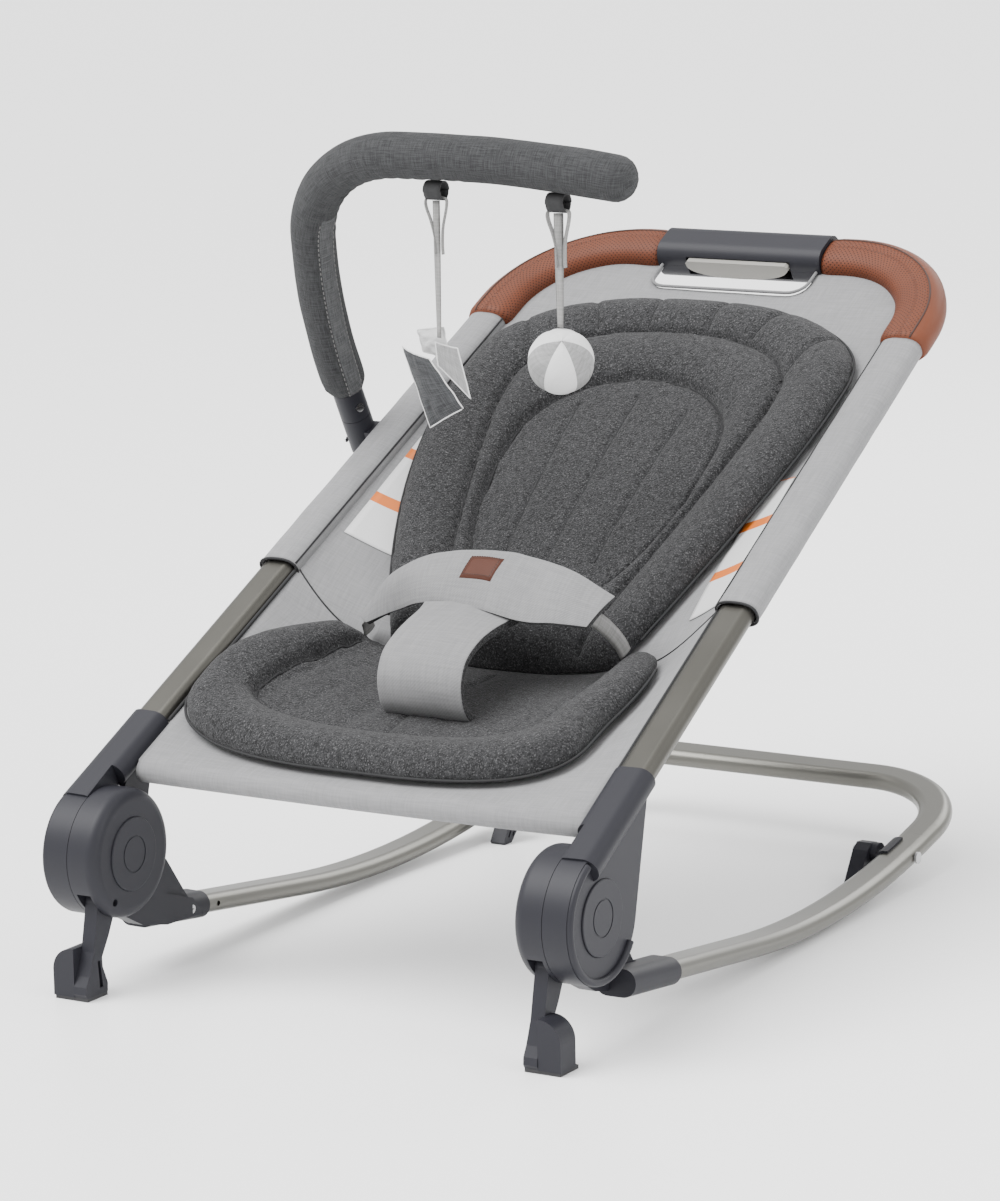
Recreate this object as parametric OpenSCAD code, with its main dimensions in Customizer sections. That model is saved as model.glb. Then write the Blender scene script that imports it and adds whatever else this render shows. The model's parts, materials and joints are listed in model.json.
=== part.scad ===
// Folding baby bouncer seat with a kick-out rocker base, a fabric sling and a swivelling toy bar.
// Millimetres, +Z up, +X to the right of someone facing the seat, +Y towards the head end.
// Everything is drawn in a working frame with the middle plane at x = 0, the hinge axis at
// y = 0 and the floor at z = 0; home() then moves it to the centre of the overall footprint.

/* [Hinges] */
// Height of the main hinge axis above the floor
hinge_z = 110; // [106:1:114]
// Outer radius of the round hinge housings
hinge_r = 52; // [50:0.5:54]
// Distance from the middle plane to the joint face between the two halves of a hinge
seam_x = 217; // [216:0.5:218]
// Width of the base half of a hinge
base_half_w = 27; // [26:0.5:28]
// Width of the seat half of a hinge
seat_half_w = 21; // [20:0.5:22]
// Radius of the round cover caps
cap_r = 29.7; // [28:0.1:31]

/* [Tubes] */
// Width of the flat-oval frame tube
tube_w = 30; // [29:0.5:31]
// Thickness of the flat-oval frame tube
tube_t = 16; // [15:0.5:17]
// Wall of the frame tube
tube_wall = 1.5; // [1:0.1:2]
// Radial play of a fabric sleeve or pad over a tube
sleeve_gap = 0.4; // [0.3:0.1:0.6]

/* [Seat frame] */
// Angle of the seat side tubes above the floor
seat_angle = 27.7; // [26:0.1:29]
// Offset of the seat tubes from the hinge axis
tube_lift = 42.7; // [42:0.1:43]
// Distance from the middle plane to a seat tube where it leaves its socket
seat_half = 223.6; // [222:0.1:225]
// Inward taper of each seat side tube, in degrees
seat_taper = 2.165; // [1.8:0.005:2.5]
// Distance along the seat from the hinge to the top cross tube
seat_top = 791; // [780:1:800]
// Bend radius of the seat tube's top corners
seat_bend_r = 100; // [90:1:110]
// Distance along the seat to the upper end of the plastic socket
socket_end = 110; // [106:1:114]

/* [Rocker base] */
// Distance from the middle plane to a rocker rail at its socket
rail_half = 220; // [219:0.5:221]
// Inward taper of each rail, in degrees
rail_taper = 1.65; // [1.4:0.05:1.9]
// Radius of the long rocker curve
rocker_r = 1000; // [950:10:1050]
// Distance behind the hinge of the lowest point of the rocker curve
rocker_y = 385; // [380:1:390]
// Height of the tube centre at the lowest point of the rocker curve
rocker_z = 12.5; // [12:0.5:14]
// Downward slope of the front of the rails, in degrees
rail_fall = 7; // [6.5:0.1:7.5]
// Upward slope of the rear of the rails, in degrees
rail_rise = 11.5; // [11:0.1:12]
// Bend radius of the rear corners
base_bend_r = 95; // [90:1:100]

/* [Sling and insert] */
// Depth of the sling below the tubes at the seat crease
sling_deep = 71; // [68:1:74]
// Thickness of the padded insert
pad_t = 23; // [20:1:25]
// Half width of the padded insert
pad_half = 182; // [176:1:186]

/* [Toy bar] */
// Distance along the seat to the toy bar post
post_s = 501; // [495:1:506]
// Distance from the middle plane to the toy bar post
post_x = 241; // [240.5:0.5:243]
// Diameter of the padded toy bar
foam_d = 38; // [36:1:40]

/* [Hidden] */

$fn = 48;
eps = 0.02;
seam = 0.01;                              // hairline between two legs of one bent tube

// Hinge
hinge_in = seam_x - base_half_w;          // inner face of a hinge
base_face_w = base_half_w - 0.5;          // base half, stopping short of the joint face
seat_face = seam_x + seat_half_w;         // flat outer face of the seat half
bolt_r = 5;
run_gap = 0.06;                           // radial running clearance
index_r = 35;
index_t = 4;
index_x = seam_x + 1;
socket_w = tube_w + 5;
socket_t = tube_t + 6;

// Seat frame: the local frame has y along the tubes and z square to them
seat_origin = [0, -tube_lift * sin(seat_angle), hinge_z + tube_lift * cos(seat_angle)];
leg_start = 58;
socket_s0 = 4;
bend_s = seat_top - seat_bend_r * (1 - sin(seat_taper));
bend_cx = leg_x(bend_s) - seat_bend_r * cos(seat_taper);
sleeve_s0 = 311;
grip_s0 = 669;
grip_pad = 7;                             // thickness of the grips' padding
handle_half = 80;
handle_a = 21;                            // half height of the handle along the seat
handle_b = 17;                            // half thickness of the handle
lever_t = 5.4;
slot_s = 738;                             // fabric edge of the hand slot

// Rocker base
arc_z = rocker_z + rocker_r;
fall_y = rocker_y - rocker_r * sin(rail_fall);
fall_z = arc_z - rocker_r * cos(rail_fall);
rise_y = rocker_y + rocker_r * sin(rail_rise);
rise_z = arc_z - rocker_r * cos(rail_rise);
rail_y0 = 120;                            // where rail_half is measured
tube_front = 52;                          // front end of the base tube
rear_run = 24;
rear_x = rail_half - (rise_y - rail_y0) * sin(rail_taper);
rear_y = rail_y0 + (rise_y - rail_y0) * cos(rail_taper);

// Front feet
foot_pivot = [-26, 76];                   // y and z of the foot's pin
foot_x = 200.5;                           // inner side of the foot's spine
foot_w = 12;
sole_t = 3;
foot_pin_r = 3;

// Rear feet
rear_pin = [556, rail_z(556)];            // y and z of the rear foot's pin
rear_pin_r = 3;

// Sling and insert
hem_s = 63;
hem_n = -10;
hem_r = 7;
sling_t = 2.5;
crease_s = 280;
sling_inset = 1.2;

// Toy bar
post_r = 13;
post_top = 19;
collar_top = 46;
lean_start = 60;
lean_r = 560;
lean_turn = 15;
crown_r = 115;
arm_run = 30;
droop_r = 1080;
droop_turn = 9.6;
arm_r = 8;
arm_foot = 36;                            // lower end of the arm's tube inside the collar

// Where the whole model's footprint is centred, in the working frame
home_x = (leg_x(socket_s0) + (socket_w - foam_d) / 2 - post_x) / 2;
home_y = 329;

grey_metal = [0.62, 0.61, 0.57];
slate = [0.25, 0.25, 0.28];
steel = [0.7, 0.7, 0.72];
rubber = [0.12, 0.12, 0.13];
sling_grey = [0.72, 0.72, 0.72];
heather = [0.3, 0.3, 0.31];
linen = [0.35, 0.36, 0.37];
tan = [0.62, 0.3, 0.16];
pale = [0.82, 0.81, 0.78];
white = [0.93, 0.93, 0.92];

// ---------- placing ----------
function leg_x(s) = seat_half - (s - socket_end) * tan(seat_taper);
function rail_x(y) = rail_half - (y - rail_y0) * tan(rail_taper);
function rail_z(y) = y < fall_y ? fall_z + (fall_y - y) * tan(rail_fall)
    : y > rise_y ? rise_z + (y - rise_y) * tan(rail_rise)
    : arc_z - sqrt(rocker_r * rocker_r - (y - rocker_y) * (y - rocker_y));

module home() { translate([-home_x, -home_y, 0]) children(); }

// Drawn on the right, mirrored for the left
module on_side(side) {
    if (side < 0) mirror([1, 0, 0]) children();
    else children();
}

// Seat frame coordinates: x across, y along the tubes from the hinge, z square to the tubes
module seat() { translate(seat_origin) rotate([seat_angle, 0, 0]) children(); }

// Stands an outline drawn in (y, z) on the plane x = x0 and gives it a width
module across(x0, w) { translate([x0, 0, 0]) rotate([90, 0, 90]) linear_extrude(w) children(); }

// A solid of revolution about an axis along x, its local z at x = x0
module about_x(x0, y, z) { translate([x0, y, z]) rotate([90, 0, 90]) children(); }

module flat_oval(w, t) {
    square([w - t, t], center = true);
    for (i = [-1, 1]) translate([i * (w - t) / 2, 0]) circle(d = t);
}

module tube_ring(w, t, wall) {
    difference() {
        flat_oval(w, t);
        flat_oval(w - 2 * wall, t - 2 * wall);
    }
}

// A disc with one rounded edge, from z = 0 (rounded side) to z = w
module soft_disc(r, w, edge) {
    rotate_extrude($fn = 96) {
        square([r - edge, w]);
        translate([0, edge]) square([r, w - edge]);
        translate([r - edge, edge]) circle(edge);
    }
}

// ---------- sweeps ----------
// A plane path of straight legs [length] and bends [radius, turn], turning left when turn > 0
function leg_end(p, h, leg) = len(leg) == 1 ? p + leg[0] * [cos(h), sin(h)]
    : let (k = sign(leg[1])) p + leg[0] * k * [sin(h + leg[1]) - sin(h), cos(h) - cos(h + leg[1])];

// Turns an outline so that it is pushed along +x, its own x staying in the plane of the path
module along() { rotate([90, 0, 90]) children(); }

module path_leg(p, h, leg) {
    if (len(leg) == 1) {
        translate([p[0], p[1], 0]) rotate([0, 0, h]) along()
            translate([0, 0, seam]) linear_extrude(leg[0] - 2 * seam) children();
    } else {
        k = sign(leg[1]);
        trim = seam / leg[0] * 180 / PI;
        translate([p[0] - k * leg[0] * sin(h), p[1] + k * leg[0] * cos(h), 0])
            rotate([0, 0, k > 0 ? h - 90 + trim : h + 90 + leg[1] + trim])
                rotate_extrude(angle = abs(leg[1]) - 2 * trim, $fn = leg[0] > 400 ? 240 : 96)
                    translate([leg[0], 0]) children();
    }
}

// Sweeps children(0) along the path; children(1), inside its wall, joins each leg to the next
module route(p, h, legs, i = 0) {
    leg = legs[i];
    turn = len(leg) == 1 ? 0 : leg[1];
    stop = leg_end(p, h, leg);
    path_leg(p, h, leg) children(0);
    if (i < len(legs) - 1) {
        joint(stop, h + turn) children(1);
        route(stop, h + turn, legs, i + 1) {
            children(0);
            children(1);
        }
    }
}
module joint(p, h) {
    translate([p[0], p[1], 0]) rotate([0, 0, h]) along() linear_extrude(4, center = true) children();
}

module frame_ring() { tube_ring(tube_w, tube_t, tube_wall); }
module frame_joint() { tube_ring(tube_w - 0.9, tube_t - 0.9, 0.6); }

function unit(v) = v / norm(v);
function tangent(p, i) = unit(p[min(i + 1, len(p) - 1)] - p[max(i - 1, 0)]);

// A closed strip of width w and thickness t swept along points p; side gives the width direction
module strip(p, w, t, side = [1, 0, 0], sides = 8) {
    n = len(p);
    ring = [for (k = [0:sides - 1]) [w / 2 * cos(360 * k / sides), t / 2 * sin(360 * k / sides)]];
    verts = [for (i = [0:n - 1])
        let (d = tangent(p, i), a = unit(side - d * (side * d)), b = cross(d, a))
        for (q = ring) p[i] + a * q[0] + b * q[1]];
    walls = [for (i = [0:n - 2], k = [0:sides - 1]) let (a = i * sides + k, b = i * sides + (k + 1) % sides)
        each [[a + sides, b, a], [a + sides, b + sides, b]]];
    ends = [[for (k = [0:sides - 1]) k], [for (k = [sides - 1:-1:0]) (n - 1) * sides + k]];
    polyhedron(verts, concat(walls, ends), convexity = 4);
}

function helix(r, h, turns, steps = 12) =
    [for (i = [0:turns * steps]) [r * cos(360 * i / steps), r * sin(360 * i / steps), h * i / (turns * steps)]];

// A coil spring standing on z = 0
module coil(r, h, turns, wire) { strip(helix(r, h, turns), wire, wire, [0, 0, 1], 6); }

// A closed slab between two grids of points with nu rows and nv columns
module slab(top, bottom, nu, nv) {
    total = nu * nv;
    function at(i, j) = i * nv + j;
    up = [for (i = [0:nu - 2], j = [0:nv - 2]) each
        [[at(i, j), at(i, j + 1), at(i + 1, j + 1)], [at(i, j), at(i + 1, j + 1), at(i + 1, j)]]];
    down = [for (f = up) [total + f[2], total + f[1], total + f[0]]];
    rim = concat([for (j = [0:nv - 1]) at(0, j)], [for (i = [1:nu - 1]) at(i, nv - 1)],
        [for (j = [nv - 2:-1:0]) at(nu - 1, j)], [for (i = [nu - 2:-1:1]) at(i, 0)]);
    m = len(rim);
    sides = [for (k = [0:m - 1]) let (a = rim[k], b = rim[(k + 1) % m]) each
        [[b, a, total + a], [b, total + a, total + b]]];
    polyhedron(concat(top, bottom), [for (f = concat(up, down, sides)) [f[2], f[1], f[0]]], convexity = 6);
}

// ---------- base ----------
module on_rail() {
    translate([rail_half, rail_y0, 0]) rotate([0, 0, rail_taper]) translate([0, -rail_y0, 0]) children();
}

module rail_straight(y0, y1) {
    translate([0, y0, rail_z(y0)]) rotate([-90 - rail_fall, 0, 0])
        linear_extrude((y1 - y0) / cos(rail_fall)) children();
}

// Rail in its own upright plane: x runs to the rear and y up
module rail_plane() { on_rail() rotate([90, 0, 90]) children(); }

module rail_route() {
    rail_plane() route([tube_front, rail_z(tube_front)], -rail_fall,
        [[(fall_y - tube_front) / cos(rail_fall)], [rocker_r, rail_fall + rail_rise]]) {
        rotate(90) children(0);
        rotate(90) children(1);
    }
}

// Plane of the rear hoop, which carries on at the slope of the rails
module rear_plane() { translate([0, rear_y, rise_z]) rotate([rail_rise, 0, 0]) children(); }
cross_half = rear_x - rear_run * sin(rail_taper) - base_bend_r * cos(rail_taper);

module base_tube() {
    color(grey_metal) home() difference() {
        union() {
            for (side = [-1, 1]) on_side(side) {
                rail_route() {
                    frame_ring();
                    frame_joint();
                }
                rear_plane() joint([rear_x, 0], 90 + rail_taper) frame_joint();
            }
            rear_plane() route([-rear_x, 0], 90 - rail_taper, [[rear_run], [base_bend_r, rail_taper - 90],
                [2 * cross_half], [base_bend_r, rail_taper - 90], [rear_run]]) {
                frame_ring();
                frame_joint();
            }
        }
        for (side = [-1, 1]) on_side(side) {
            on_rail() about_x(-tube_w, 136, rail_z(136)) cylinder(r = 2.2, h = tube_w);
            about_x(rail_x(rear_pin[0]) - tube_w, rear_pin[0], rear_pin[1])
                cylinder(r = rear_pin_r + run_gap, h = 2 * tube_w);
        }
    }
}

// Room inside the base half for the foot's head and its forward swing
module foot_pocket() {
    across(foot_x - 0.6, foot_w + 1.2) translate(foot_pivot) {
        circle(11.5);
        polygon([[0, 11], [-40, 6], [-60, -40], [-40, -60], [22, -60], [19, -2]]);
    }
}

module hinge_base(side) {
    color(slate) home() on_side(side) difference() {
        union() {
            difference() {
                about_x(hinge_in, 0, hinge_z) soft_disc(hinge_r, base_face_w, 9.5);
                about_x(hinge_in + 8, 0, hinge_z) cylinder(r = hinge_r - 8, h = base_face_w);
            }
            about_x(hinge_in + 4, 0, hinge_z) cylinder(r = 12, h = base_face_w - 4);
            // lugs that carry the foot's pin, on both sides of its pocket
            for (x = [[hinge_in + 6, foot_x], [foot_x + foot_w, hinge_in + base_face_w]])
                about_x(x[0], foot_pivot[0], foot_pivot[1]) cylinder(r = 8, h = x[1] - x[0]);
            // tube socket and the web and gusset that join it to the housing
            on_rail() rail_straight(46, 121) flat_oval(socket_w, socket_t);
            across(hinge_in + 12, base_face_w - 12)
                polygon([[-4, hinge_z - 50], [30, hinge_z - 43], [51, hinge_z - 8], [60, 62], [96, 50],
                    [110, 34], [60, 36], [26, 44]]);
            across(205, 6) polygon([[46, hinge_z - 20], [50, hinge_z - 6], [66, 88], [94, 50], [40, 50]]);
        }
        about_x(hinge_in - 1, 0, hinge_z) cylinder(r = cap_r + 0.3, h = 3);
        about_x(hinge_in - 1, 0, hinge_z) cylinder(r = bolt_r + run_gap, h = base_half_w + 2);
        about_x(hinge_in + 2, 0, hinge_z) cylinder(r = 10, h = 4);
        about_x(hinge_in, foot_pivot[0], foot_pivot[1]) cylinder(r = foot_pin_r, h = base_half_w + 1);
        foot_pocket();
        on_rail() rail_straight(tube_front - 0.5, 125) flat_oval(tube_w, tube_t);
    }
}
module hinge_base_left() { hinge_base(-1); }
module hinge_base_right() { hinge_base(1); }

// A round cover cap with a shallow ring groove
module cap() {
    difference() {
        soft_disc(cap_r, 3.2, 1);
        difference() {
            translate([0, 0, -0.5]) cylinder(r = 15, h = 1);
            translate([0, 0, -0.6]) cylinder(r = 13.6, h = 1.2);
        }
    }
}

module base_cap(side) { color(slate) home() on_side(side) about_x(hinge_in - 1.4, 0, hinge_z) cap(); }
module base_cap_left() { base_cap(-1); }
module base_cap_right() { base_cap(1); }

module hinge_bolts() {
    color(steel) home() for (side = [-1, 1]) on_side(side) {
        about_x(hinge_in + 2.2, 0, hinge_z) cylinder(r = 9, h = 3.6, $fn = 6);
        about_x(hinge_in + 5.8 - eps, 0, hinge_z) cylinder(r = bolt_r, h = seat_face - hinge_in - 9.8);
        about_x(seat_face - 4 - eps, 0, hinge_z) cylinder(r = 9, h = 2);
    }
}

module index_plate(side) {
    color(steel) home() on_side(side) difference() {
        about_x(index_x - 1.5, 0, hinge_z) cylinder(r = index_r, h = index_t + 1.5, $fn = 96);
        about_x(index_x - 2, 0, hinge_z) cylinder(r = bolt_r + run_gap, h = index_t + 3);
        for (i = [-1:1]) about_x(index_x - 2, 0, hinge_z) rotate([0, 0, 63 + 9 * i])
            translate([index_r, 0, (index_t + 3) / 2]) cube([5, 4.4, index_t + 4], center = true);
    }
}
module index_plate_left() { index_plate(-1); }
module index_plate_right() { index_plate(1); }

// Cross-head screws that hold the base tube in its sockets
module base_screws() {
    color(steel) home() for (side = [-1, 1]) on_side(side) on_rail()
        about_x(-socket_w / 2 - 1.2, 96, rail_z(96)) {
            difference() {
                cylinder(r = 3.6, h = 1.2);
                translate([0, 0, 0.3]) cube([4, 0.9, 0.7], center = true);
            }
            translate([0, 0, 1.2 - eps]) cylinder(r = 1.8, h = 5);
        }
}

// ---------- front feet ----------
module foot_outline() {
    circle(9);
    polygon([[-9, 0], [-11.5, -12], [-17, -38], [-24, -56], [-28.5, -64], [-29, -70], [-27, -76 + sole_t],
        [0, -76 + sole_t], [0.5, -66], [-5.5, -52], [-6, -44], [4, -28], [11, -14], [9, 0]]);
}

module front_foot(side) {
    color(slate) home() on_side(side) difference() {
        union() {
            across(foot_x, foot_w) translate(foot_pivot) foot_outline();
            // pedal flange that a toe pushes, on the outer side
            translate([foot_x + foot_w - eps, 0, 0]) difference() {
                rotate([90, 0, 0]) translate([0, 0, 32]) linear_extrude(22) {
                    translate([0, sole_t]) square([20, 22]);
                    intersection() {
                        translate([0, sole_t]) square([20, 40]);
                        translate([2, 24]) circle(18);
                    }
                }
                translate([0, -58, 44]) rotate([38, 0, 0]) translate([-1, -20, 0]) cube([40, 40, 30]);
            }
        }
        about_x(foot_x - 1, foot_pivot[0], foot_pivot[1]) cylinder(r = foot_pin_r + run_gap, h = foot_w + 2);
        // two weight-saving slots behind the spine
        across(foot_x - 1, 4) translate(foot_pivot) polygon([[-12, -46], [-9, -46], [-6, -68], [-10, -68]]);
    }
}
module front_foot_left() { front_foot(-1); }
module front_foot_right() { front_foot(1); }

module front_sole(side) {
    color(rubber) home() on_side(side)
        translate([foot_x, foot_pivot[0] - 27, 0]) cube([foot_w + 19, 26.5, sole_t]);
}
module front_sole_left() { front_sole(-1); }
module front_sole_right() { front_sole(1); }

module front_foot_pins() {
    color(steel) home() for (side = [-1, 1]) on_side(side)
        about_x(hinge_in + 9, foot_pivot[0], foot_pivot[1]) cylinder(r = foot_pin_r, h = base_half_w - 10.5);
}

// ---------- rear feet ----------
// Saddle on the inner side of a rail that carries the rear foot
module rear_bracket(side) {
    turn = 1.8;
    color(slate) home() on_side(side) difference() {
        on_rail() about_x(0, rocker_y, arc_z) rotate([0, 0, -90 + asin((rear_pin[0] - rocker_y) / rocker_r) - turn / 2])
            rotate_extrude(angle = turn, $fn = 240) translate([rocker_r, 0]) rotate(90) difference() {
                intersection() {
                    flat_oval(tube_w + 4, tube_t + 4);
                    translate([-20, -20]) square([16, 40]);
                }
                flat_oval(tube_w + 0.1, tube_t + 0.1);
            }
        about_x(rail_x(rear_pin[0]) - 40, rear_pin[0], rear_pin[1]) cylinder(r = rear_pin_r + run_gap, h = 80);
    }
}
module rear_bracket_left() { rear_bracket(-1); }
module rear_bracket_right() { rear_bracket(1); }

module rear_foot(side) {
    hub_x = rail_x(rear_pin[0]) - tube_w / 2 - 3;
    color(slate) home() on_side(side) difference() {
        union() {
            about_x(hub_x - 9, rear_pin[0], rear_pin[1]) cylinder(r = 9, h = 8);
            across(hub_x - 21, 14) polygon([[rear_pin[0] + 6, rear_pin[1] + 8], [rear_pin[0] + 9, rear_pin[1] - 2],
                [541, 2], [539, 0], [527, 0], [525, 2], [rear_pin[0] - 12, rear_pin[1] + 4],
                [rear_pin[0] - 4, rear_pin[1] + 9]]);
        }
        about_x(hub_x - 30, rear_pin[0], rear_pin[1]) cylinder(r = rear_pin_r + run_gap, h = 40);
        for (y = [533, 540]) translate([hub_x - 22, y, 6]) rotate([-34, 0, 0]) cube([3, 2, 14]);
    }
}
module rear_foot_left() { rear_foot(-1); }
module rear_foot_right() { rear_foot(1); }

module rear_foot_pins() {
    x = rail_x(rear_pin[0]);
    color(steel) home() for (side = [-1, 1]) on_side(side) {
        about_x(x - tube_w / 2 - 26, rear_pin[0], rear_pin[1]) cylinder(r = rear_pin_r, h = tube_w + 28);
        about_x(x - tube_w / 2 - 28, rear_pin[0], rear_pin[1]) cylinder(r = 5, h = 2);
        about_x(x + tube_w / 2 + 0.6, rear_pin[0], rear_pin[1]) cylinder(r = 5, h = 2);
    }
}

// ---------- seat half of the hinges ----------
// Teardrop outline in seat coordinates (y, z): the round housing and the web up to its tube
module teardrop(r) {
    c = [0, -tube_lift];
    tip = [98, -tube_t / 2];
    d = norm(tip - c);
    a = atan2(tip[1] - c[1], tip[0] - c[0]);
    g = acos(r / d);
    translate(c) circle(r, $fn = 96);
    polygon([tip, c + r * [cos(a - g), sin(a - g)], c, [0, -tube_lift + r - 1], [60, tube_t / 2]]);
}

module on_leg(s) { translate([leg_x(s), s, 0]) rotate([0, 0, seat_taper]) rotate([-90, 0, 0]) children(); }

module hinge_seat(side) {
    color(slate) home() on_side(side) seat() difference() {
        union() {
            translate([seam_x, 0, 0]) rotate([90, 0, 90]) linear_extrude(seat_half_w) teardrop(hinge_r);
            // rim that runs off the tube round the front and the underside
            translate([seat_face - 8, 0, -tube_lift]) rotate([90, 0, 90]) rotate([0, 0, 88])
                rotate_extrude(angle = 210, $fn = 96) translate([hinge_r - 6.5, 0]) {
                    square([6, 9]);
                    translate([3, 9]) circle(3);
                }
            difference() {
                on_leg(socket_s0) linear_extrude(socket_end - socket_s0) flat_oval(socket_w, socket_t);
                translate([seam_x - 40, 0, -tube_lift]) rotate([90, 0, 90])
                    cylinder(r = hinge_r + 0.8, h = 40 - eps, $fn = 96);
                translate([seam_x - 40, -40, -60]) cube([40, 82, 90]);
            }
        }
        on_leg(leg_start) linear_extrude(80) flat_oval(tube_w, tube_t);
        // room for the index plate, the lock pawl and its spring
        translate([seam_x - 1, 0, -tube_lift]) rotate([90, 0, 90]) cylinder(r = index_r + 1, h = index_t + 2.5);
        translate([seam_x - 1, 0, -tube_lift]) rotate([90, 0, 90]) cylinder(r = bolt_r + run_gap, h = seat_half_w + 8);
        translate([seat_face - 4.2, 0, -tube_lift]) rotate([90, 0, 90]) cylinder(r = 9.4, h = 8);
        translate([seat_face - 1.8, 0, -tube_lift]) rotate([90, 0, 90]) cylinder(r = cap_r + 0.3, h = 10);
        pawl_room();
    }
}
module hinge_seat_left() { hinge_seat(-1); }
module hinge_seat_right() { hinge_seat(1); }

module pawl_room() {
    translate([0, 0, -tube_lift]) rotate([35, 0, 0])
        translate([seam_x - 0.5, index_r - 2, -5]) cube([8, 26, 10]);
}

module seat_cap(side) {
    color(slate) home() on_side(side) seat()
        translate([seat_face + 1.4, 0, -tube_lift]) rotate([90, 0, 90]) mirror([0, 0, 1]) cap();
}
module seat_cap_left() { seat_cap(-1); }
module seat_cap_right() { seat_cap(1); }

module lock_pawl(side) {
    color(steel) home() on_side(side) seat() translate([0, 0, -tube_lift]) rotate([35, 0, 0])
        translate([index_x + 0.5, index_r + 0.6, -4]) cube([5, 10, 8]);
}
module lock_pawl_left() { lock_pawl(-1); }
module lock_pawl_right() { lock_pawl(1); }

module pawl_spring(side) {
    color(steel) home() on_side(side) seat() translate([0, 0, -tube_lift]) rotate([35, 0, 0])
        translate([index_x + 3, index_r + 11.2, 0]) rotate([-90, 0, 0]) coil(2.4, 10.5, 4, 0.8);
}
module pawl_spring_left() { pawl_spring(-1); }
module pawl_spring_right() { pawl_spring(1); }

// ---------- seat frame ----------
// Path of the seat tube from its lower left end round to its lower right end
function seat_path(s0) = [[(bend_s - s0) / cos(seat_taper)], [seat_bend_r, seat_taper - 90], [2 * bend_cx],
    [seat_bend_r, seat_taper - 90], [(bend_s - s0) / cos(seat_taper)]];

module seat_tube() {
    color(grey_metal) home() seat() difference() {
        route([-leg_x(leg_start), leg_start], 90 - seat_taper, seat_path(leg_start)) {
            frame_ring();
            frame_joint();
        }
        for (x = [-60, 60]) translate([x, seat_top - 8, 0]) rotate([90, 0, 0]) cylinder(r = 2.5, h = 10);
    }
}

rivet_s = 102;
// Blind rivets through the sockets into the seat tube
module socket_rivets() {
    color(steel) home() seat() for (side = [-1, 1]) on_side(side) {
        translate([leg_x(rivet_s), rivet_s, -socket_t / 2 - 1]) cylinder(r = 4, h = 1);
    }
}

// Rod in the front hem that spreads the sling between the two side tubes
module hem_rod() {
    reach = leg_x(hem_s) - socket_w / 2 - 0.6;
    color(grey_metal) home() seat() translate([-reach, hem_s, hem_n]) rotate([90, 0, 90])
        linear_extrude(2 * reach) difference() {
            circle(hem_r);
            circle(hem_r - 1.2);
        }
}

// ---------- handle ----------
handle_r = 13;                            // corner radius of the handle
handle_screw_n = -12.4;                   // height of the handle screws' heads
lever_half = 50;

// Handle outline: a rounded box of half sizes a and b
module handle_outline(a, b) {
    square([2 * (a - handle_r), 2 * b], center = true);
    square([2 * a, 2 * (b - handle_r)], center = true);
    for (i = [-1, 1], j = [-1, 1]) translate([i * (a - handle_r), j * (b - handle_r)]) circle(handle_r);
}

module handle_body() {
    difference() {
        translate([-handle_half, seat_top, 0]) along() linear_extrude(2 * handle_half)
            handle_outline(handle_a, handle_b);
        translate([-handle_half - 1, seat_top, 0]) along() linear_extrude(2 * handle_half + 2)
            flat_oval(tube_w + 0.1, tube_t + 0.1);
        // recess for the release lever
        translate([-51, seat_top - handle_a - 1, -9]) cube([102, 14, 18]);
        for (x = [-64, 64]) translate([x, seat_top + 16.5, -handle_b]) cylinder(r = 1.6, h = handle_b + 5);
    }
}

module handle_front() {
    color(slate) home() seat() intersection() {
        handle_body();
        translate([-100, seat_top - 60, 0.1]) cube([200, 120, 60]);
    }
}

module handle_rear() {
    color(slate) home() seat() intersection() {
        handle_body();
        translate([-100, seat_top - 60, -60]) cube([200, 120, 59.9]);
    }
}

module handle_screws() {
    color(steel) home() seat() for (x = [-64, 64]) translate([x, seat_top + 16.5, handle_screw_n]) {
        cylinder(r = 1.5, h = 14);
        translate([0, 0, -1.6]) cylinder(r = 1.5, h = 1.7);
    }
}

// Lever outline, flat above and curved below
lever_outline = concat([[-lever_half + 2, 8], [-lever_half, 6]],
    [for (k = [1:23]) let (a = 180 - 7.5 * k) [lever_half * cos(a), 6 - 14 * pow(sin(a), 0.7)]],
    [[lever_half, 6], [lever_half - 2, 8]]);

// The squeeze lever stands proud of the handle and closes lever_travel towards the tube
module release_lever() {
    color(pale) home() seat() translate([0, seat_top - handle_a - 4 + lever_t, 0]) rotate([90, 0, 0])
        linear_extrude(lever_t) polygon(lever_outline);
}

module lever_springs() {
    gap = handle_a + 4 - lever_t - tube_w / 2;
    color(steel) home() seat() for (x = [-34, 34])
        translate([x, seat_top - tube_w / 2 - gap + 0.3, 0]) rotate([-90, 0, 0]) coil(3, gap - 0.6, 2.5, 0.6);
}

// Release cables, from each pawl's track up inside the seat tube to the handle
module release_cables() {
    color(rubber) home() seat() for (side = [-1, 1]) on_side(side)
        route([leg_x(leg_start + 6), leg_start + 6], 90 + seat_taper,
            [[(bend_s - leg_start - 6) / cos(seat_taper)], [seat_bend_r, 90 - seat_taper], [bend_cx - 62]]) {
            circle(1.5, $fn = 16);
            circle(0.8, $fn = 16);
        }
}

// Padded leather grip that follows the corner of the seat tube
module grip(side) {
    color(tan) home() seat() on_side(side)
        route([leg_x(grip_s0), grip_s0], 90 + seat_taper,
            [[(bend_s - grip_s0) / cos(seat_taper)], [seat_bend_r, 90 - seat_taper], [bend_cx - handle_half - 0.4]]) {
            tube_ring(tube_w + 2 * grip_pad, tube_t + 2 * grip_pad, grip_pad - sleeve_gap);
            tube_ring(tube_w + grip_pad, tube_t + grip_pad, grip_pad / 3);
        }
}
module grip_left() { grip(-1); }
module grip_right() { grip(1); }

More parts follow.
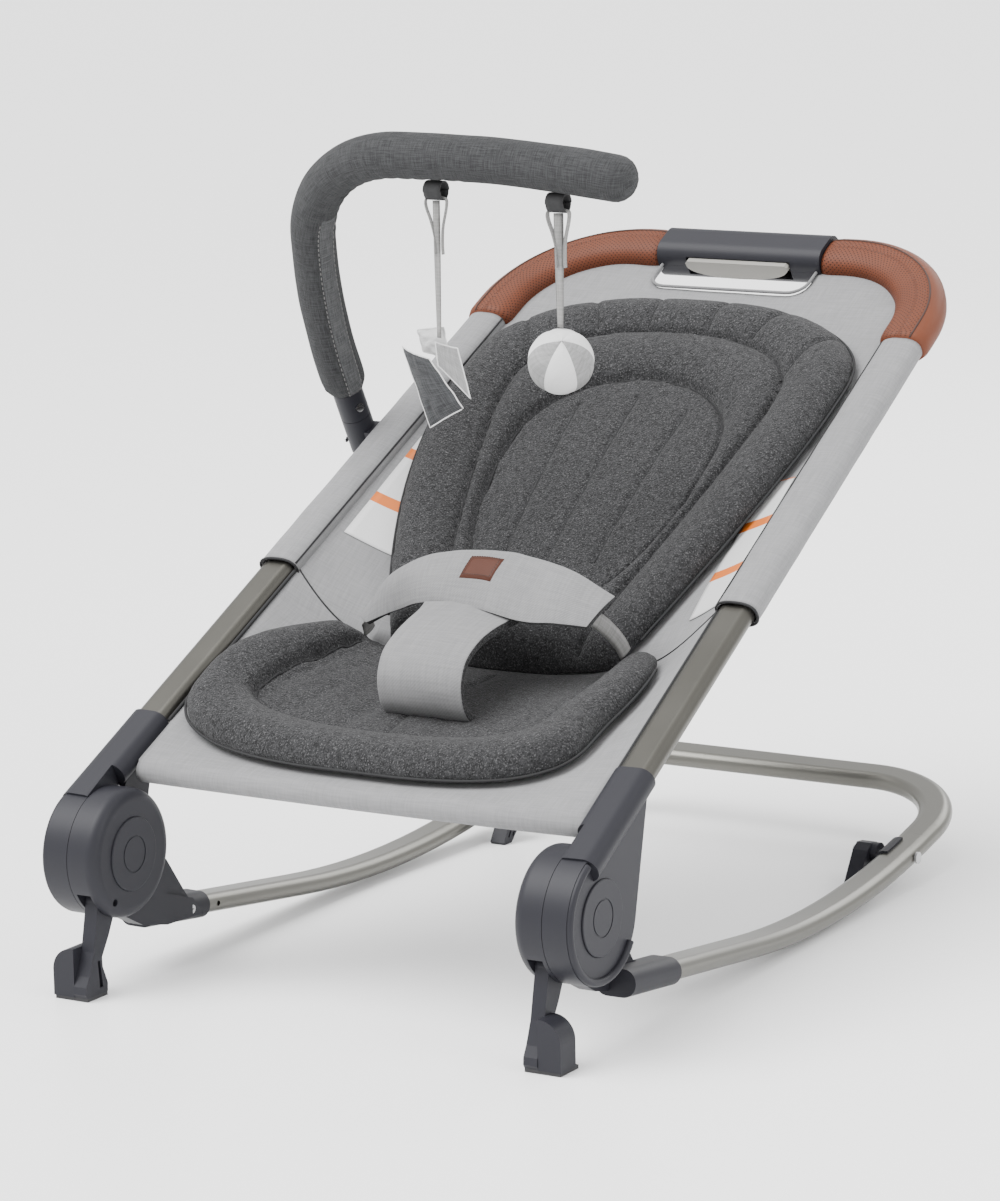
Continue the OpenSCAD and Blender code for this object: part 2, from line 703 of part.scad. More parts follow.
// ---------- sling ----------
// How far the sling hangs below the tubes on the middle plane, at distance s along the seat
function hang(s) = s < crease_s
    ? 2 + (sling_deep - 2) * pow((s - 62) / (crease_s - 62), 0.95)
    : 3 + (sling_deep - 10) * max(0, 1 - (s - crease_s) / 400) + 7 * exp((crease_s - s) / 18);
// Gap from the tube's middle line to the sling's edge: beside the socket, the bare tube, the sleeve and the grip
function edge_gap(s) = tube_w / 2 + (s < socket_end ? 3.4 : s < sleeve_s0 - 8 ? sling_inset
    : s < grip_s0 - 24 ? sling_inset + 2.6 : grip_pad + 0.6);
function edge_x(s) = s < bend_s ? leg_x(s) - edge_gap(s)
    : bend_cx + sqrt(pow(seat_bend_r - edge_gap(s), 2) - pow(s - seat_top + seat_bend_r, 2));
// Height of the sling's upper face at fraction u of its half width
function sling_n(s, u) = -hang(s) * (1 - pow(abs(u), 2.6));
function sling_row(s, drop) = [for (j = [-8:8]) let (u = j / 8) [u * edge_x(s), s, sling_n(s, u) - drop]];
sling_s0 = hem_s + hem_r + 2;
function stations(a, b, n) = [for (i = [0:n]) a + (b - a) * i / n];
sling_stations = concat(stations(sling_s0, crease_s, 12), stations(crease_s + 8, crease_s + 40, 4),
    stations(crease_s + 60, slot_s, 20));

module sling() {
    color(sling_grey) home() seat() {
        slab([for (s = sling_stations) each sling_row(s, 0)], [for (s = sling_stations) each sling_row(s, sling_t)],
            len(sling_stations), 17);
    }
}

module sleeve(side) {
    color(sling_grey) home() seat() on_side(side) difference() {
        on_leg(sleeve_s0) linear_extrude((grip_s0 - 0.5 - sleeve_s0) / cos(seat_taper))
            tube_ring(tube_w + 2 * sleeve_gap + 4, tube_t + 2 * sleeve_gap + 4, 2);
        if (side < 0) translate([leg_x(post_s) + 4, post_s - 12, -9]) cube([30, 24, 18]);
    }
}
module sleeve_left() { sleeve(-1); }
module sleeve_right() { sleeve(1); }

// ---------- insert ----------
// The insert lies on the sling; its upper face is pad_t higher and rounds off at its edges
function pad_u(x, s) = x / edge_x(s);
pad_s0 = 78;                              // front edge of the insert
pad_s1 = 704;                             // head end of the insert
function seat_half_at(s) = pad_half * pow(1 - pow(max(0, 150 - s) / (150 - pad_s0), 2.6), 1 / 2.6)
    - 30 * pow(max(0, s - 190) / 90, 2);
function back_half_at(s) = pad_half * pow(1 - pow(max(0, s - 590) / (pad_s1 - 590), 2.5), 1 / 2.2)
    - 77 * pow(max(0, 570 - s) / (570 - crease_s), 1.8);
function pad_half_at(s) = s < crease_s ? seat_half_at(s) : back_half_at(s);
function pad_row(s, lift) = [for (j = [-7:7]) let (x = pad_half_at(s) * j / 7)
    [x, s, sling_n(s, pad_u(x, s)) + lift * (lift > pad_lift ? 0.35 + 0.65 * (1 - pow(abs(j / 7), 4)) : 1)]];
pad_lift = 2;                             // under face of the insert over the sling

module insert_pad(st) {
    color(heather) home() seat() slab([for (s = st) each pad_row(s, pad_t)],
        [for (s = st) each pad_row(s, pad_lift)], len(st), 15);
}
module insert_seat() { insert_pad(stations(pad_s0 + 2, crease_s - 1, 14)); }
module insert_back() {
    insert_pad(concat(stations(crease_s + 1, crease_s + 41, 4), stations(crease_s + 60, pad_s1 - 1, 18)));
}

// ---------- harness ----------
// Middle line of the crotch strap, out of the insert and up to the belt, in the working frame
crotch_path = [[0, 143, 219], [0, 136, 226], [0, 133, 238], [0, 137, 253], [0, 150, 264], [0, 172, 275],
    [0, 196, 282]];
module crotch_strap() { color(sling_grey) home() strip(crotch_path, 79, 8, [1, 0, 0], 12); }

// Upper and lower edges of the wide belt that arches over the waist, in the working frame
belt_high = [[-126, 246, 264], [-104, 247, 297], [-62, 249, 319], [0, 243, 328], [50, 229, 328],
    [92, 218, 322],
    [124, 224, 304]];
belt_low = [[-118, 234, 260], [-88, 237, 273], [-50, 222, 285], [0, 208, 291], [58, 188, 291], [92, 184, 293],
    [119, 187, 288]];
belt_t = 6;
waist = [0, 262, 225];
function inward(p, t) = p + t * unit([p[0] * 0.35, waist[1], waist[2]] - p);
module waist_belt() {
    rows = [belt_low, (belt_low + belt_high) / 2, belt_high];
    color(sling_grey) home() slab([for (r = rows) each r], [for (r = rows, p = r) inward(p, belt_t)],
        3, len(belt_high));
}

// Webbing from each end of the belt down through the insert
module belt_straps() {
    color(pale) home() {
        strip([[121.5, 213, 290.5], [126, 226, 280], [128, 238, 268], [128, 246, 259]], 20, 1.6, [0.3, 0.8, 0.5], 8);
        strip([[-122.6, 244.2, 257.4], [-124.4, 246.6, 255.8], [-125.7, 248.2, 255.1]], 20, 1.6, [0.3, 0.8, 0.5], 8);
    }
}

module belt_patch() {
    color(tan) home() translate([-2, 229.4, 318.9]) rotate([46, 0, -11]) cube([34, 20, 1.6], center = true);
}

// Plain sewn-in care tags lying on the side panels
tag_s = [385, 510];
tag_u = [0.80, 0.955];
function tag_row(s, lift) = [for (j = [0:4]) let (u = tag_u[0] + (tag_u[1] - tag_u[0]) * j / 4)
    [u * edge_x(s), s, sling_n(s, u) + lift]];
module side_tags() {
    st = stations(tag_s[0], tag_s[1], 10);
    color(white) home() seat() for (side = [-1, 1]) on_side(side)
        slab([for (s = st) each tag_row(s, 1.2)], [for (s = st) each tag_row(s, 0.7)], len(st), 5);
}

// ---------- toy bar ----------
// The bar's local frame: origin on the post's axis at the tube, x across, y up the post
module toy_frame() { seat() translate([-post_x, post_s, 0]) rotate([90, 0, 0]) children(); }

module toy_post() {
    color(slate) home() difference() {
        union() {
            toy_frame() {
                rotate([-90, 0, 0]) translate([0, 0, -14]) cylinder(r = post_r, h = post_top + 14);
                rotate([-90, 0, 0]) translate([0, 0, post_top - eps]) cylinder(r = 8, h = 16);
            }
            seat() translate([-post_x, post_s - 9, -7]) cube([post_x - leg_x(post_s) - 6, 18, 14]);
        }
        seat() on_side(-1) on_leg(post_s - 40) linear_extrude(80) flat_oval(tube_w + 0.1, tube_t + 0.1);
    }
}

module post_screws() {
    color(steel) home() seat() for (i = [-1, 1])
        translate([-post_x - post_r - 1, post_s + 6 * i, -4]) rotate([0, 90, 0]) cylinder(r = 2.4, h = 1);
}

module toy_collar() {
    color(slate) home() toy_frame() rotate([-90, 0, 0]) difference() {
        translate([0, 0, post_top + 0.4]) cylinder(r = post_r, h = collar_top - post_top - 0.4);
        translate([0, 0, post_top]) cylinder(r = 8 + run_gap, h = 16.4);
        translate([0, 0, post_top + 16]) cylinder(r = arm_r + run_gap, h = 40);
        rotate([0, 0, -25]) translate([post_r - 4.2, 0, 32]) rotate([0, 90, 0]) cylinder(r = 4.2, h = 10);
    }
}

module toy_button() {
    color(steel) home() toy_frame() rotate([-90, 0, 0]) rotate([0, 0, -25])
        translate([post_r - 1.5, 0, 32]) rotate([0, 90, 0]) cylinder(r = 4, h = 2.6);
}

// The bar's own curve: straight stem, slight lean, crown, arm and a long droop
lean_x = lean_r * (1 - cos(lean_turn));
lean_y = lean_start + lean_r * sin(lean_turn);
crown_x = lean_x + crown_r * cos(lean_turn);
crown_y = lean_y + crown_r * (1 - sin(lean_turn));
function bar_path(y0) = [[lean_start - y0], [lean_r, -lean_turn], [crown_r, lean_turn - 90], [arm_run],
    [droop_r, -droop_turn]];

module toy_arm_tube() {
    color(grey_metal) home() toy_frame() route([0, arm_foot], 90, bar_path(arm_foot)) {
        difference() {
            circle(arm_r);
            circle(arm_r - 1.5);
        }
        difference() {
            circle(arm_r - 0.5);
            circle(arm_r - 1);
        }
    }
}

module toy_arm_pad() {
    tip = leg_end([crown_x + arm_run, crown_y], 0, [droop_r, -droop_turn]);
    color(linen) home() toy_frame() {
        route([0, collar_top + 0.4], 90, bar_path(collar_top + 0.4)) {
            difference() {
                circle(foam_d / 2);
                circle(arm_r + 0.1);
            }
            difference() {
                circle(foam_d / 2 - 3);
                circle(arm_r + 3);
            }
        }
        // padded end of the arm
        translate([tip[0], tip[1], 0]) rotate([0, 0, -droop_turn]) rotate([0, 90, 0]) {
            translate([0, 0, seam]) soft_end(foam_d / 2, 8);
            translate([0, 0, -2]) rotate_extrude() translate([arm_r + 3, 0]) square([5, 4]);
        }
    }
}
module soft_end(r, edge) {
    rotate_extrude() {
        square([r - edge, edge + 1]);
        square([r, 1]);
        translate([r - edge, 1]) intersection() {
            circle(edge);
            square(edge);
        }
    }
}

toy_x = [136, 249];                       // along the arm from the post
function arm_y(x) = crown_y - (x > crown_x + arm_run ? pow(x - crown_x - arm_run, 2) / (2 * droop_r) : 0);
loop_r = 8;                               // radius of the webbing loops under the arm
loop_w = 16;
ribbon_len = [112, 92];

// Middle of the arm over each toy, in the working frame
function arm_point(i) = let (x = toy_x[i] + 30) [x - post_x, 0, 0] + seat_origin
    + [0, post_s * cos(seat_angle) - arm_y(x) * sin(seat_angle), post_s * sin(seat_angle) + arm_y(x) * cos(seat_angle)];
function loop_point(i) = arm_point(i) - [0, 0, foam_d / 2 + loop_r + 0.2];
function hang_point(i) = loop_point(i) - [0, 0, loop_r + 0.4];

// Webbing loops sewn under the padded arm, which the toys hang from
module toy_loops() {
    color(rubber) home() for (i = [0, 1]) translate(loop_point(i)) rotate([0, 90, 0])
        linear_extrude(loop_w, center = true) difference() {
            circle(loop_r);
            circle(loop_r - 1.2);
        }
}

function ribbon_path(i) = let (h = hang_point(i)) [for (k = [0:8]) h - [0, 0, ribbon_len[i] * k / 8]];

module toy_ribbon(i) { color(pale) home() strip(ribbon_path(i), 8, 1.6, [0.9, 0.43, 0], 8); }
module toy_ribbon_left() { toy_ribbon(0); }
module toy_ribbon_right() { toy_ribbon(1); }

// Crinkle-leaf toy
module toy_left() {
    h = hang_point(0) - [0, 0, ribbon_len[0]];
    color(linen) home() translate(h) rotate([0, 0, 28]) {
        translate([0, 0, -40]) cube([44, 14, 78], center = true);
    }
}

// Soft ball toy
module toy_right() {
    h = hang_point(1) - [0, 0, ribbon_len[1]];
    color(white) home() translate(h - [0, 0, 27.5]) sphere(27);
}

base_tube();
hinge_base_left();
hinge_base_right();
base_cap_left();
base_cap_right();
hinge_bolts();
index_plate_left();
index_plate_right();
base_screws();
front_foot_left();
front_foot_right();
front_sole_left();
front_sole_right();
front_foot_pins();
rear_bracket_left();
rear_bracket_right();
rear_foot_left();
rear_foot_right();
rear_foot_pins();
hinge_seat_left();
hinge_seat_right();
seat_cap_left();
seat_cap_right();
lock_pawl_left();
lock_pawl_right();
pawl_spring_left();
pawl_spring_right();
seat_tube();
socket_rivets();
hem_rod();
handle_front();
handle_rear();
handle_screws();
release_lever();
lever_springs();
release_cables();
grip_left();
grip_right();
sling();
sleeve_left();
sleeve_right();
insert_seat();
insert_back();
crotch_strap();
waist_belt();
belt_straps();
belt_patch();
side_tags();
toy_post();
post_screws();
toy_collar();
toy_button();
toy_arm_tube();
toy_arm_pad();
toy_loops();
toy_ribbon_left();
toy_left();
toy_ribbon_right();
toy_right();
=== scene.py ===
"""Looks of the folding baby bouncer seat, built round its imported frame.

The seat's own directions are x across, s along the side tubes from the hinge and n square to
them. S(x, s, n) turns millimetres in them into the row frame, and W(x, y, z) does the same for
millimetres measured from the hinge axis and the floor.
"""
import json
import math

import bpy
import numpy as np
from mathutils import Matrix, Vector, noise
from mathutils.bvhtree import BVHTree


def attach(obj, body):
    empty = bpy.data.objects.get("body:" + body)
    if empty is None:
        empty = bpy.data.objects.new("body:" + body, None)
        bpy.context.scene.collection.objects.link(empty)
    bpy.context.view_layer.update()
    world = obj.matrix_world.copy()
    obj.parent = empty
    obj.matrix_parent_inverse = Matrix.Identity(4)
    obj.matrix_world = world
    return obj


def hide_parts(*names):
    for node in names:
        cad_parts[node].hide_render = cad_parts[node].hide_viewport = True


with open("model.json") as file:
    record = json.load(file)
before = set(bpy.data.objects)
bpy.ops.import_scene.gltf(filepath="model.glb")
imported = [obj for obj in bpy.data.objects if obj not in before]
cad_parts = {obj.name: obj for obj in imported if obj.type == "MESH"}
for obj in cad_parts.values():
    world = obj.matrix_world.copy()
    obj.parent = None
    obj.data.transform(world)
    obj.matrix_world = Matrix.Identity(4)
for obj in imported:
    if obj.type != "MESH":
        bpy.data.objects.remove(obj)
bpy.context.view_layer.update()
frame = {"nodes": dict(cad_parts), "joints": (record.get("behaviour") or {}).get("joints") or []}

MM = 0.001
JOINTS = {joint["name"]: joint for joint in frame["joints"]}
HINGE = Vector(JOINTS["seat_recline"]["pos_m"])

# ---------- sizes, in millimetres; a name that ends in _S is a place along s ----------
SEAT_ANGLE = math.radians(27.7)
TUBE_LIFT = 42.7                  # from the hinge axis to the tubes' middle line, along n
SEAT_TAPER = math.radians(2.165)
SEAT_HALF = 223.6                 # half spacing of the seat tubes at SOCKET_END
SOCKET_END = 110.0
SEAT_TOP = 791.0
BEND_R = 100.0
TUBE_W, TUBE_T = 30.0, 16.0
SLEEVE_S0, GRIP_S0 = 311.0, 669.0
HANDLE_HALF = 80.0
HEM_S, HEM_N, HEM_R = 63.0, -10.0, 7.0
HANG_S = 62.0                     # where the sling begins to hang between the tubes
CREASE_S = 280.0
SLING_DEEP = 71.0                 # how far the sling hangs at its crease
SLOT_S, SLOT_HALF, SLOT_R = 738.0, 76.0, 16.0
PAD_HALF = 182.0
PAD_S0, PAD_S1 = 78.0, 704.0
POST_X, POST_S = 241.0, 501.0
FOAM_D = 38.0
GRIP_FOAM = 6.7                   # the grip's thickness over the tube
SLING_T, SLEEVE_T, TAG_T, LOOP_T = 1.6, 1.2, 0.5, 1.3
WEB_W, WEB_T = 14.0, 1.8
BELT_T, CROTCH_T, PATCH_T = 6.0, 7.0, 1.3
VOXEL = 4.8                       # of the pads' remesh
BALL_R = 27.0
BEND_S = SEAT_TOP - BEND_R * (1 - math.sin(SEAT_TAPER))


def leg_x(s):
    """How far a side tube's middle line is from the middle plane."""
    return SEAT_HALF - (s - SOCKET_END) * math.tan(SEAT_TAPER)


BEND_X = leg_x(BEND_S) - BEND_R * math.cos(SEAT_TAPER)


def W(x, y, z):
    return Vector((HINGE.x + x * MM, HINGE.y + y * MM, z * MM))


def S(x, s, n):
    a = SEAT_ANGLE
    y = -TUBE_LIFT * math.sin(a) + s * math.cos(a) - n * math.sin(a)
    z = HINGE.z / MM + TUBE_LIFT * math.cos(a) + s * math.sin(a) + n * math.cos(a)
    return W(x, y, z)


def direction(x, s, n):
    """One of the seat's directions, a millimetre long."""
    return S(x, s, n) - S(0, 0, 0)


def new_object(name, data):
    thing = bpy.data.objects.new(name, data)
    bpy.context.scene.collection.objects.link(thing)
    return thing


# ---------- camera ----------
def add_camera():
    data = bpy.data.cameras.new("camera")
    data.sensor_width = 36.0
    data.lens = 141.3
    data.clip_end = 50.0
    camera = new_object("camera", data)
    forward = Vector((-0.51292, 0.83606, -0.19473))
    up = Vector((-0.0843, 0.17669, 0.98065))
    right = forward.cross(up).normalized()
    up = right.cross(forward).normalized()
    turn = Matrix((right, up, -forward.normalized())).transposed().to_4x4()
    camera.matrix_world = Matrix.Translation(W(1952.6, -2930.1, 1026.3)) @ turn
    bpy.context.scene.camera = camera


add_camera()


# ---------- materials ----------
class Nodes:
    """A small helper that adds and links shader nodes."""

    def __init__(self, name):
        self.mat = bpy.data.materials.new(name)
        self.mat.use_nodes = True
        self.tree = self.mat.node_tree
        self.tree.nodes.clear()
        self.out = self.tree.nodes.new("ShaderNodeOutputMaterial")
        self.bsdf = self.tree.nodes.new("ShaderNodeBsdfPrincipled")
        self.tree.links.new(self.bsdf.outputs[0], self.out.inputs[0])

    def add(self, kind, **inputs):
        node = self.tree.nodes.new("ShaderNode" + kind)
        for key, value in inputs.items():
            if key.startswith("p_"):
                setattr(node, key[2:], value)
        for key, value in inputs.items():
            if not key.startswith("p_"):
                self.put(node, key, value)
        return node

    def put(self, node, key, value):
        """Sets or links an input, by its name or as i and its number."""
        numbered = key[0] == "i" and key[1:].isdigit()
        socket = node.inputs[int(key[1:]) if numbered else key]
        if isinstance(value, bpy.types.NodeSocket):
            self.tree.links.new(value, socket)
        else:
            socket.default_value = value

    def gloss(self, level):
        self.bsdf.inputs["Specular IOR Level"].default_value = level

    def sheen(self, weight, roughness):
        self.bsdf.inputs["Sheen Weight"].default_value = weight
        self.bsdf.inputs["Sheen Roughness"].default_value = roughness

    def set(self, **values):
        for key, value in values.items():
            self.put(self.bsdf, key.replace("_", " "), value)

    def math(self, operation, a, b=0.5, c=0.5, clamp=False):
        return self.add("Math", p_operation=operation, p_use_clamp=clamp, i0=a, i1=b, i2=c).outputs[0]

    def times(self, a, b):
        return self.math("MULTIPLY", a, b)

    def plus(self, a, b, clamp=False):
        return self.math("ADD", a, b, clamp=clamp)

    def mix(self, factor, a, b):
        return self.add("Mix", p_data_type="RGBA", i0=factor, i6=a, i7=b).outputs[2]

    def noise(self, vector, scale, detail=2.0, roughness=0.5):
        return self.add("TexNoise", Vector=vector, Scale=scale, Detail=detail, Roughness=roughness).outputs[0]

    def ramp(self, value, low, high):
        return self.add("MapRange", Value=value, i1=low, i2=high).outputs[0]

    def bump(self, height, distance, strength=1.0):
        node = self.add("Bump", Height=height, Distance=distance, Strength=strength)
        self.set(Normal=node.outputs[0])

    def place(self, scale=(1, 1, 1), rotation=(0, 0, 0), uv=False):
        where = self.add("TexCoord").outputs["UV" if uv else "Object"]
        return self.add("Mapping", Vector=where, Scale=scale, Rotation=rotation).outputs[0]


def rgb(r, g, b):
    return (r, g, b, 1.0)


def shade(colour, k):
    return (colour[0] * k, colour[1] * k, colour[2] * k, 1.0)


def metal_paint(name, colour, roughness):
    """Satin metallic paint with a fine flake and faint draw marks."""
    m = Nodes(name)
    spot = m.place()
    cloud = m.noise(spot, 18.0, 3.0)
    flake = m.noise(spot, 2600.0, 1.0)
    m.set(Base_Color=m.mix(cloud, shade(colour, 0.94), shade(colour, 1.06)), Metallic=0.85)
    m.set(Roughness=m.math("MULTIPLY_ADD", cloud, 0.1, roughness))
    m.bump(flake, 0.00002, 0.5)
    return m.mat


def plastic(name, colour, roughness=0.48, grain=1500.0):
    """Moulded plastic with a fine spark texture."""
    m = Nodes(name)
    spot = m.place()
    cloud = m.noise(spot, 9.0, 3.0)
    fine = m.noise(spot, grain, 2.0)
    m.set(Base_Color=m.mix(cloud, shade(colour, 0.9), shade(colour, 1.1)))
    m.set(Roughness=m.math("MULTIPLY_ADD", fine, 0.14, roughness - 0.07))
    m.gloss(0.22)
    m.bump(fine, 0.00005, 0.35)
    return m.mat


def steel(name):
    """Zinc-plated steel with fine draw lines."""
    m = Nodes(name)
    spot = m.place(scale=(1, 1, 30))
    line = m.noise(spot, 300.0, 2.0)
    m.set(Base_Color=m.mix(line, rgb(0.42, 0.42, 0.43), rgb(0.6, 0.6, 0.6)), Metallic=1.0, Roughness=0.35)
    m.bump(line, 0.00002, 0.4)
    return m.mat


def weave_height(m, spot, threads):
    """Over-and-under weave from two crossed waves; spot is in metres, threads is per metre."""
    sep = m.add("SeparateXYZ", Vector=spot)
    k = 2 * math.pi * threads

    def wave(axis, pace):
        return m.math("SINE", m.times(sep.outputs[axis], pace))

    warp, weft = wave(0, k), wave(1, k)
    cross = m.math("SIGN", m.times(wave(0, k / 2), wave(1, k / 2)))
    over = m.times(cross, m.math("SUBTRACT", m.math("ABSOLUTE", warp), m.math("ABSOLUTE", weft)))
    return m.math("MULTIPLY_ADD", over, 0.5)


def cloth(name, light, dark, threads=900.0, streak=0.35, depth=0.00018, sheen=0.08, twill=False):
    """Woven fabric on UVs in metres: threads, slubs that run both ways and a soft mottling."""
    m = Nodes(name)
    spot = m.place(uv=True)
    weave = weave_height(m, spot, threads)
    if twill:
        sep = m.add("SeparateXYZ", Vector=spot)
        slant = m.plus(sep.outputs[0], sep.outputs[1])
        rib = m.math("SINE", m.times(slant, 2 * math.pi * threads * 0.55))
        weave = m.plus(m.times(weave, 0.35), m.times(rib, 0.3))
    long_way = m.noise(m.place(scale=(1.0, 0.06, 1.0), uv=True), threads * 0.8, 2.0)
    cross_way = m.noise(m.place(scale=(0.06, 1.0, 1.0), uv=True), threads * 0.8, 2.0)
    slub = m.plus(long_way, cross_way)
    slub = m.ramp(m.times(slub, 0.5), 0.38, 0.62)
    patchy = m.noise(m.place(uv=True), 14.0, 3.0)
    tone = m.plus(m.times(slub, streak), m.times(patchy, 0.25))
    tone = m.plus(tone, m.times(weave, 0.3), clamp=True)
    m.set(Base_Color=m.mix(tone, dark, light), Roughness=0.9)
    m.sheen(sheen, 0.5)
    m.gloss(0.12)
    height = m.plus(weave, m.times(slub, 0.5))
    m.bump(height, depth, 0.8)
    return m.mat


def heather(name):
    """Dark looped knit: pale flecks over charcoal, with a pebbled surface."""
    m = Nodes(name)
    spot = m.place()
    loops = m.add("TexVoronoi", Vector=spot, Scale=560.0, Randomness=1.0).outputs["Distance"]
    fleck = m.ramp(m.noise(spot, 760.0, 3.0, 0.7), 0.54, 0.70)
    clump = m.ramp(m.noise(spot, 260.0, 2.0, 0.6), 0.35, 0.65)
    base = m.mix(clump, rgb(0.013, 0.013, 0.0137), rgb(0.031, 0.031, 0.0325))
    m.set(Base_Color=m.mix(fleck, base, rgb(0.125, 0.125, 0.128)), Roughness=0.95)
    m.sheen(0.08, 0.6)
    m.gloss(0.08)
    height = m.plus(m.times(loops, -1.0), m.times(fleck, 0.4))
    m.bump(height, 0.0009, 0.9)
    return m.mat


def leather(name, colour, holes=0.0):
    """Grained leather; holes is the pitch of its perforations in metres, 0 for none."""
    m = Nodes(name)
    spot = m.place(uv=True)
    grain = m.add("TexVoronoi", Vector=spot, Scale=900.0).outputs["Distance"]
    cloud = m.noise(spot, 25.0, 3.0)
    tint = m.mix(cloud, shade(colour, 0.8), shade(colour, 1.2))
    height = m.times(grain, 0.25)
    if holes:
        sep = m.add("SeparateXYZ", Vector=spot)
        waves = [m.math("SINE", m.times(sep.outputs[k], 2 * math.pi / holes)) for k in (0, 1)]
        lattice = m.times(*waves)
        dot = m.ramp(lattice, 0.45, 0.75)
        tint = m.mix(dot, tint, shade(colour, 0.18))
        height = m.math("SUBTRACT", height, dot)
    m.set(Base_Color=tint, Roughness=0.55)
    m.gloss(0.2)
    m.bump(height, 0.0004, 0.7)
    return m.mat


def plain(name, colour, roughness=0.8, metallic=0.0, scale=400.0):
    """Thread, piping, rubber and trim: one tint with fine noise."""
    m = Nodes(name)
    fine = m.noise(m.place(), scale, 2.0)
    tint = m.mix(fine, shade(colour, 0.8), shade(colour, 1.2))
    m.set(Base_Color=tint, Roughness=roughness, Metallic=metallic)
    m.bump(fine, 0.0001, 0.5)
    return m.mat


def tag_tape(name):
    """White satin tape with plain orange bands across it."""
    m = Nodes(name)
    spot = m.place(uv=True)
    sep = m.add("SeparateXYZ", Vector=spot)
    band = m.math("PINGPONG", m.plus(sep.outputs[1], 0.010), 0.030)
    band = m.math("LESS_THAN", band, 0.006)
    fine = m.noise(spot, 900.0, 1.0)
    white = m.mix(fine, rgb(0.5, 0.5, 0.5), rgb(0.62, 0.62, 0.62))
    m.set(Base_Color=m.mix(band, white, rgb(0.55, 0.13, 0.012)), Roughness=0.5)
    m.bump(fine, 0.00006, 0.4)
    return m.mat


LOOKS = {
    "seat_metal": (metal_paint, (0.088, 0.085, 0.075), 0.3),
    "base_metal": (metal_paint, (0.15, 0.147, 0.132), 0.27),
    "slate": (plastic, (0.015, 0.015, 0.0195)),
    "lever": (plastic, (0.25, 0.243, 0.225), 0.45),
    "steel": (steel,),
    "chrome": (plain, (0.7, 0.7, 0.7), 0.12, 1.0),
    "rubber": (plain, (0.022, 0.022, 0.024), 0.75),
    "sling": (cloth, rgb(0.285, 0.285, 0.288), rgb(0.17, 0.17, 0.175), 820.0),
    "belt": (cloth, rgb(0.265, 0.265, 0.265), rgb(0.15, 0.15, 0.154), 620.0, 0.3, 0.00018, 0.08, True),
    "linen": (cloth, rgb(0.060, 0.061, 0.063), rgb(0.013, 0.0135, 0.0145), 1500.0, 0.7, 0.0003, 0.05),
    "linen_pale": (cloth, rgb(0.13, 0.132, 0.135), rgb(0.035, 0.036, 0.038), 1500.0, 0.7, 0.0003, 0.05),
    "heather": (heather,),
    "grip": (leather, (0.105, 0.029, 0.0125), 0.0042),
    "grip_edge": (leather, (0.11, 0.031, 0.0135)),
    "patch": (leather, (0.06, 0.018, 0.0095)),
    "ribbon": (cloth, rgb(0.34, 0.337, 0.33), rgb(0.16, 0.158, 0.155), 700.0, 0.4),
    "loop": (plain, (0.018, 0.018, 0.019), 0.85),
    # dark piping, also the threads in the pads' grooves, where this colour is painted shade for the grooves'
    # shadow
    "piping_dark": (plain, (0.014, 0.014, 0.015), 0.9),
    "piping_grey": (plain, (0.16, 0.16, 0.163), 0.9),
    "thread": (plain, (0.16, 0.157, 0.153), 0.8, 0.0, 900.0),
    "thread_dark": (plain, (0.03, 0.012, 0.008), 0.8, 0.0, 900.0),
    "toy_white": (cloth, rgb(0.80, 0.80, 0.795), rgb(0.62, 0.62, 0.62), 900.0, 0.2),
    "toy_rib": (cloth, rgb(0.36, 0.36, 0.36), rgb(0.17, 0.17, 0.17), 420.0, 0.5),
    "toy_grey": (cloth, rgb(0.075, 0.077, 0.08), rgb(0.02, 0.02, 0.022), 900.0, 0.8),
    "tag": (tag_tape,),
}
MAT = {name: make(name, *values) for name, (make, *values) in LOOKS.items()}


# ---------- mesh tools ----------
def cover(mesh, *mats):
    """Gives a mesh its materials and smooth faces."""
    mesh.materials.clear()
    for mat in mats:
        mesh.materials.append(MAT[mat])
    mesh.polygons.foreach_set("use_smooth", [True] * len(mesh.polygons))


def add_mesh(name, verts, faces, mats, body, uvs=None, face_mats=None):
    """A piece that rides on a body. uvs is one (u, v) per vertex; face_mats one index into mats per face."""
    mesh = bpy.data.meshes.new(name)
    mesh.from_pydata([tuple(v) for v in verts], [], faces)
    cover(mesh, *([mats] if isinstance(mats, str) else mats))
    if uvs is not None:
        layer = mesh.uv_layers.new(name="UVMap")
        for loop in mesh.loops:
            layer.data[loop.index].uv = uvs[loop.vertex_index]
    if face_mats is not None:
        mesh.polygons.foreach_set("material_index", face_mats)
    mesh.update()
    piece = new_object(name, mesh)
    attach(piece, body)
    return piece


def run(points):
    """Running length along a list of points, from 0."""
    total = [0.0]
    for a, b in zip(points[:-1], points[1:]):
        total.append(total[-1] + (b - a).length)
    return total


def row_uvs(rows):
    """UVs in metres for rows of points: along each row from its middle, and down the rows."""
    middle = len(rows[0]) // 2
    uvs = []
    for row, down in zip(rows, run([row[middle] for row in rows])):
        across = run(row)
        uvs += [(a - across[middle], down) for a in across]
    return uvs


def quad(i, j, columns, start=0):
    """One face of a grid of points, which are numbered from start along its rows."""
    a, b = start + i * columns, start + (i + 1) * columns
    k = (j + 1) % columns
    return (a + j, a + k, b + k, b + j)


def lids(rows, columns, start=0):
    """The faces that close a tube's first and last ring."""
    last = start + (rows - 1) * columns
    return [tuple(range(start + columns - 1, start - 1, -1)), tuple(range(last, last + columns))]


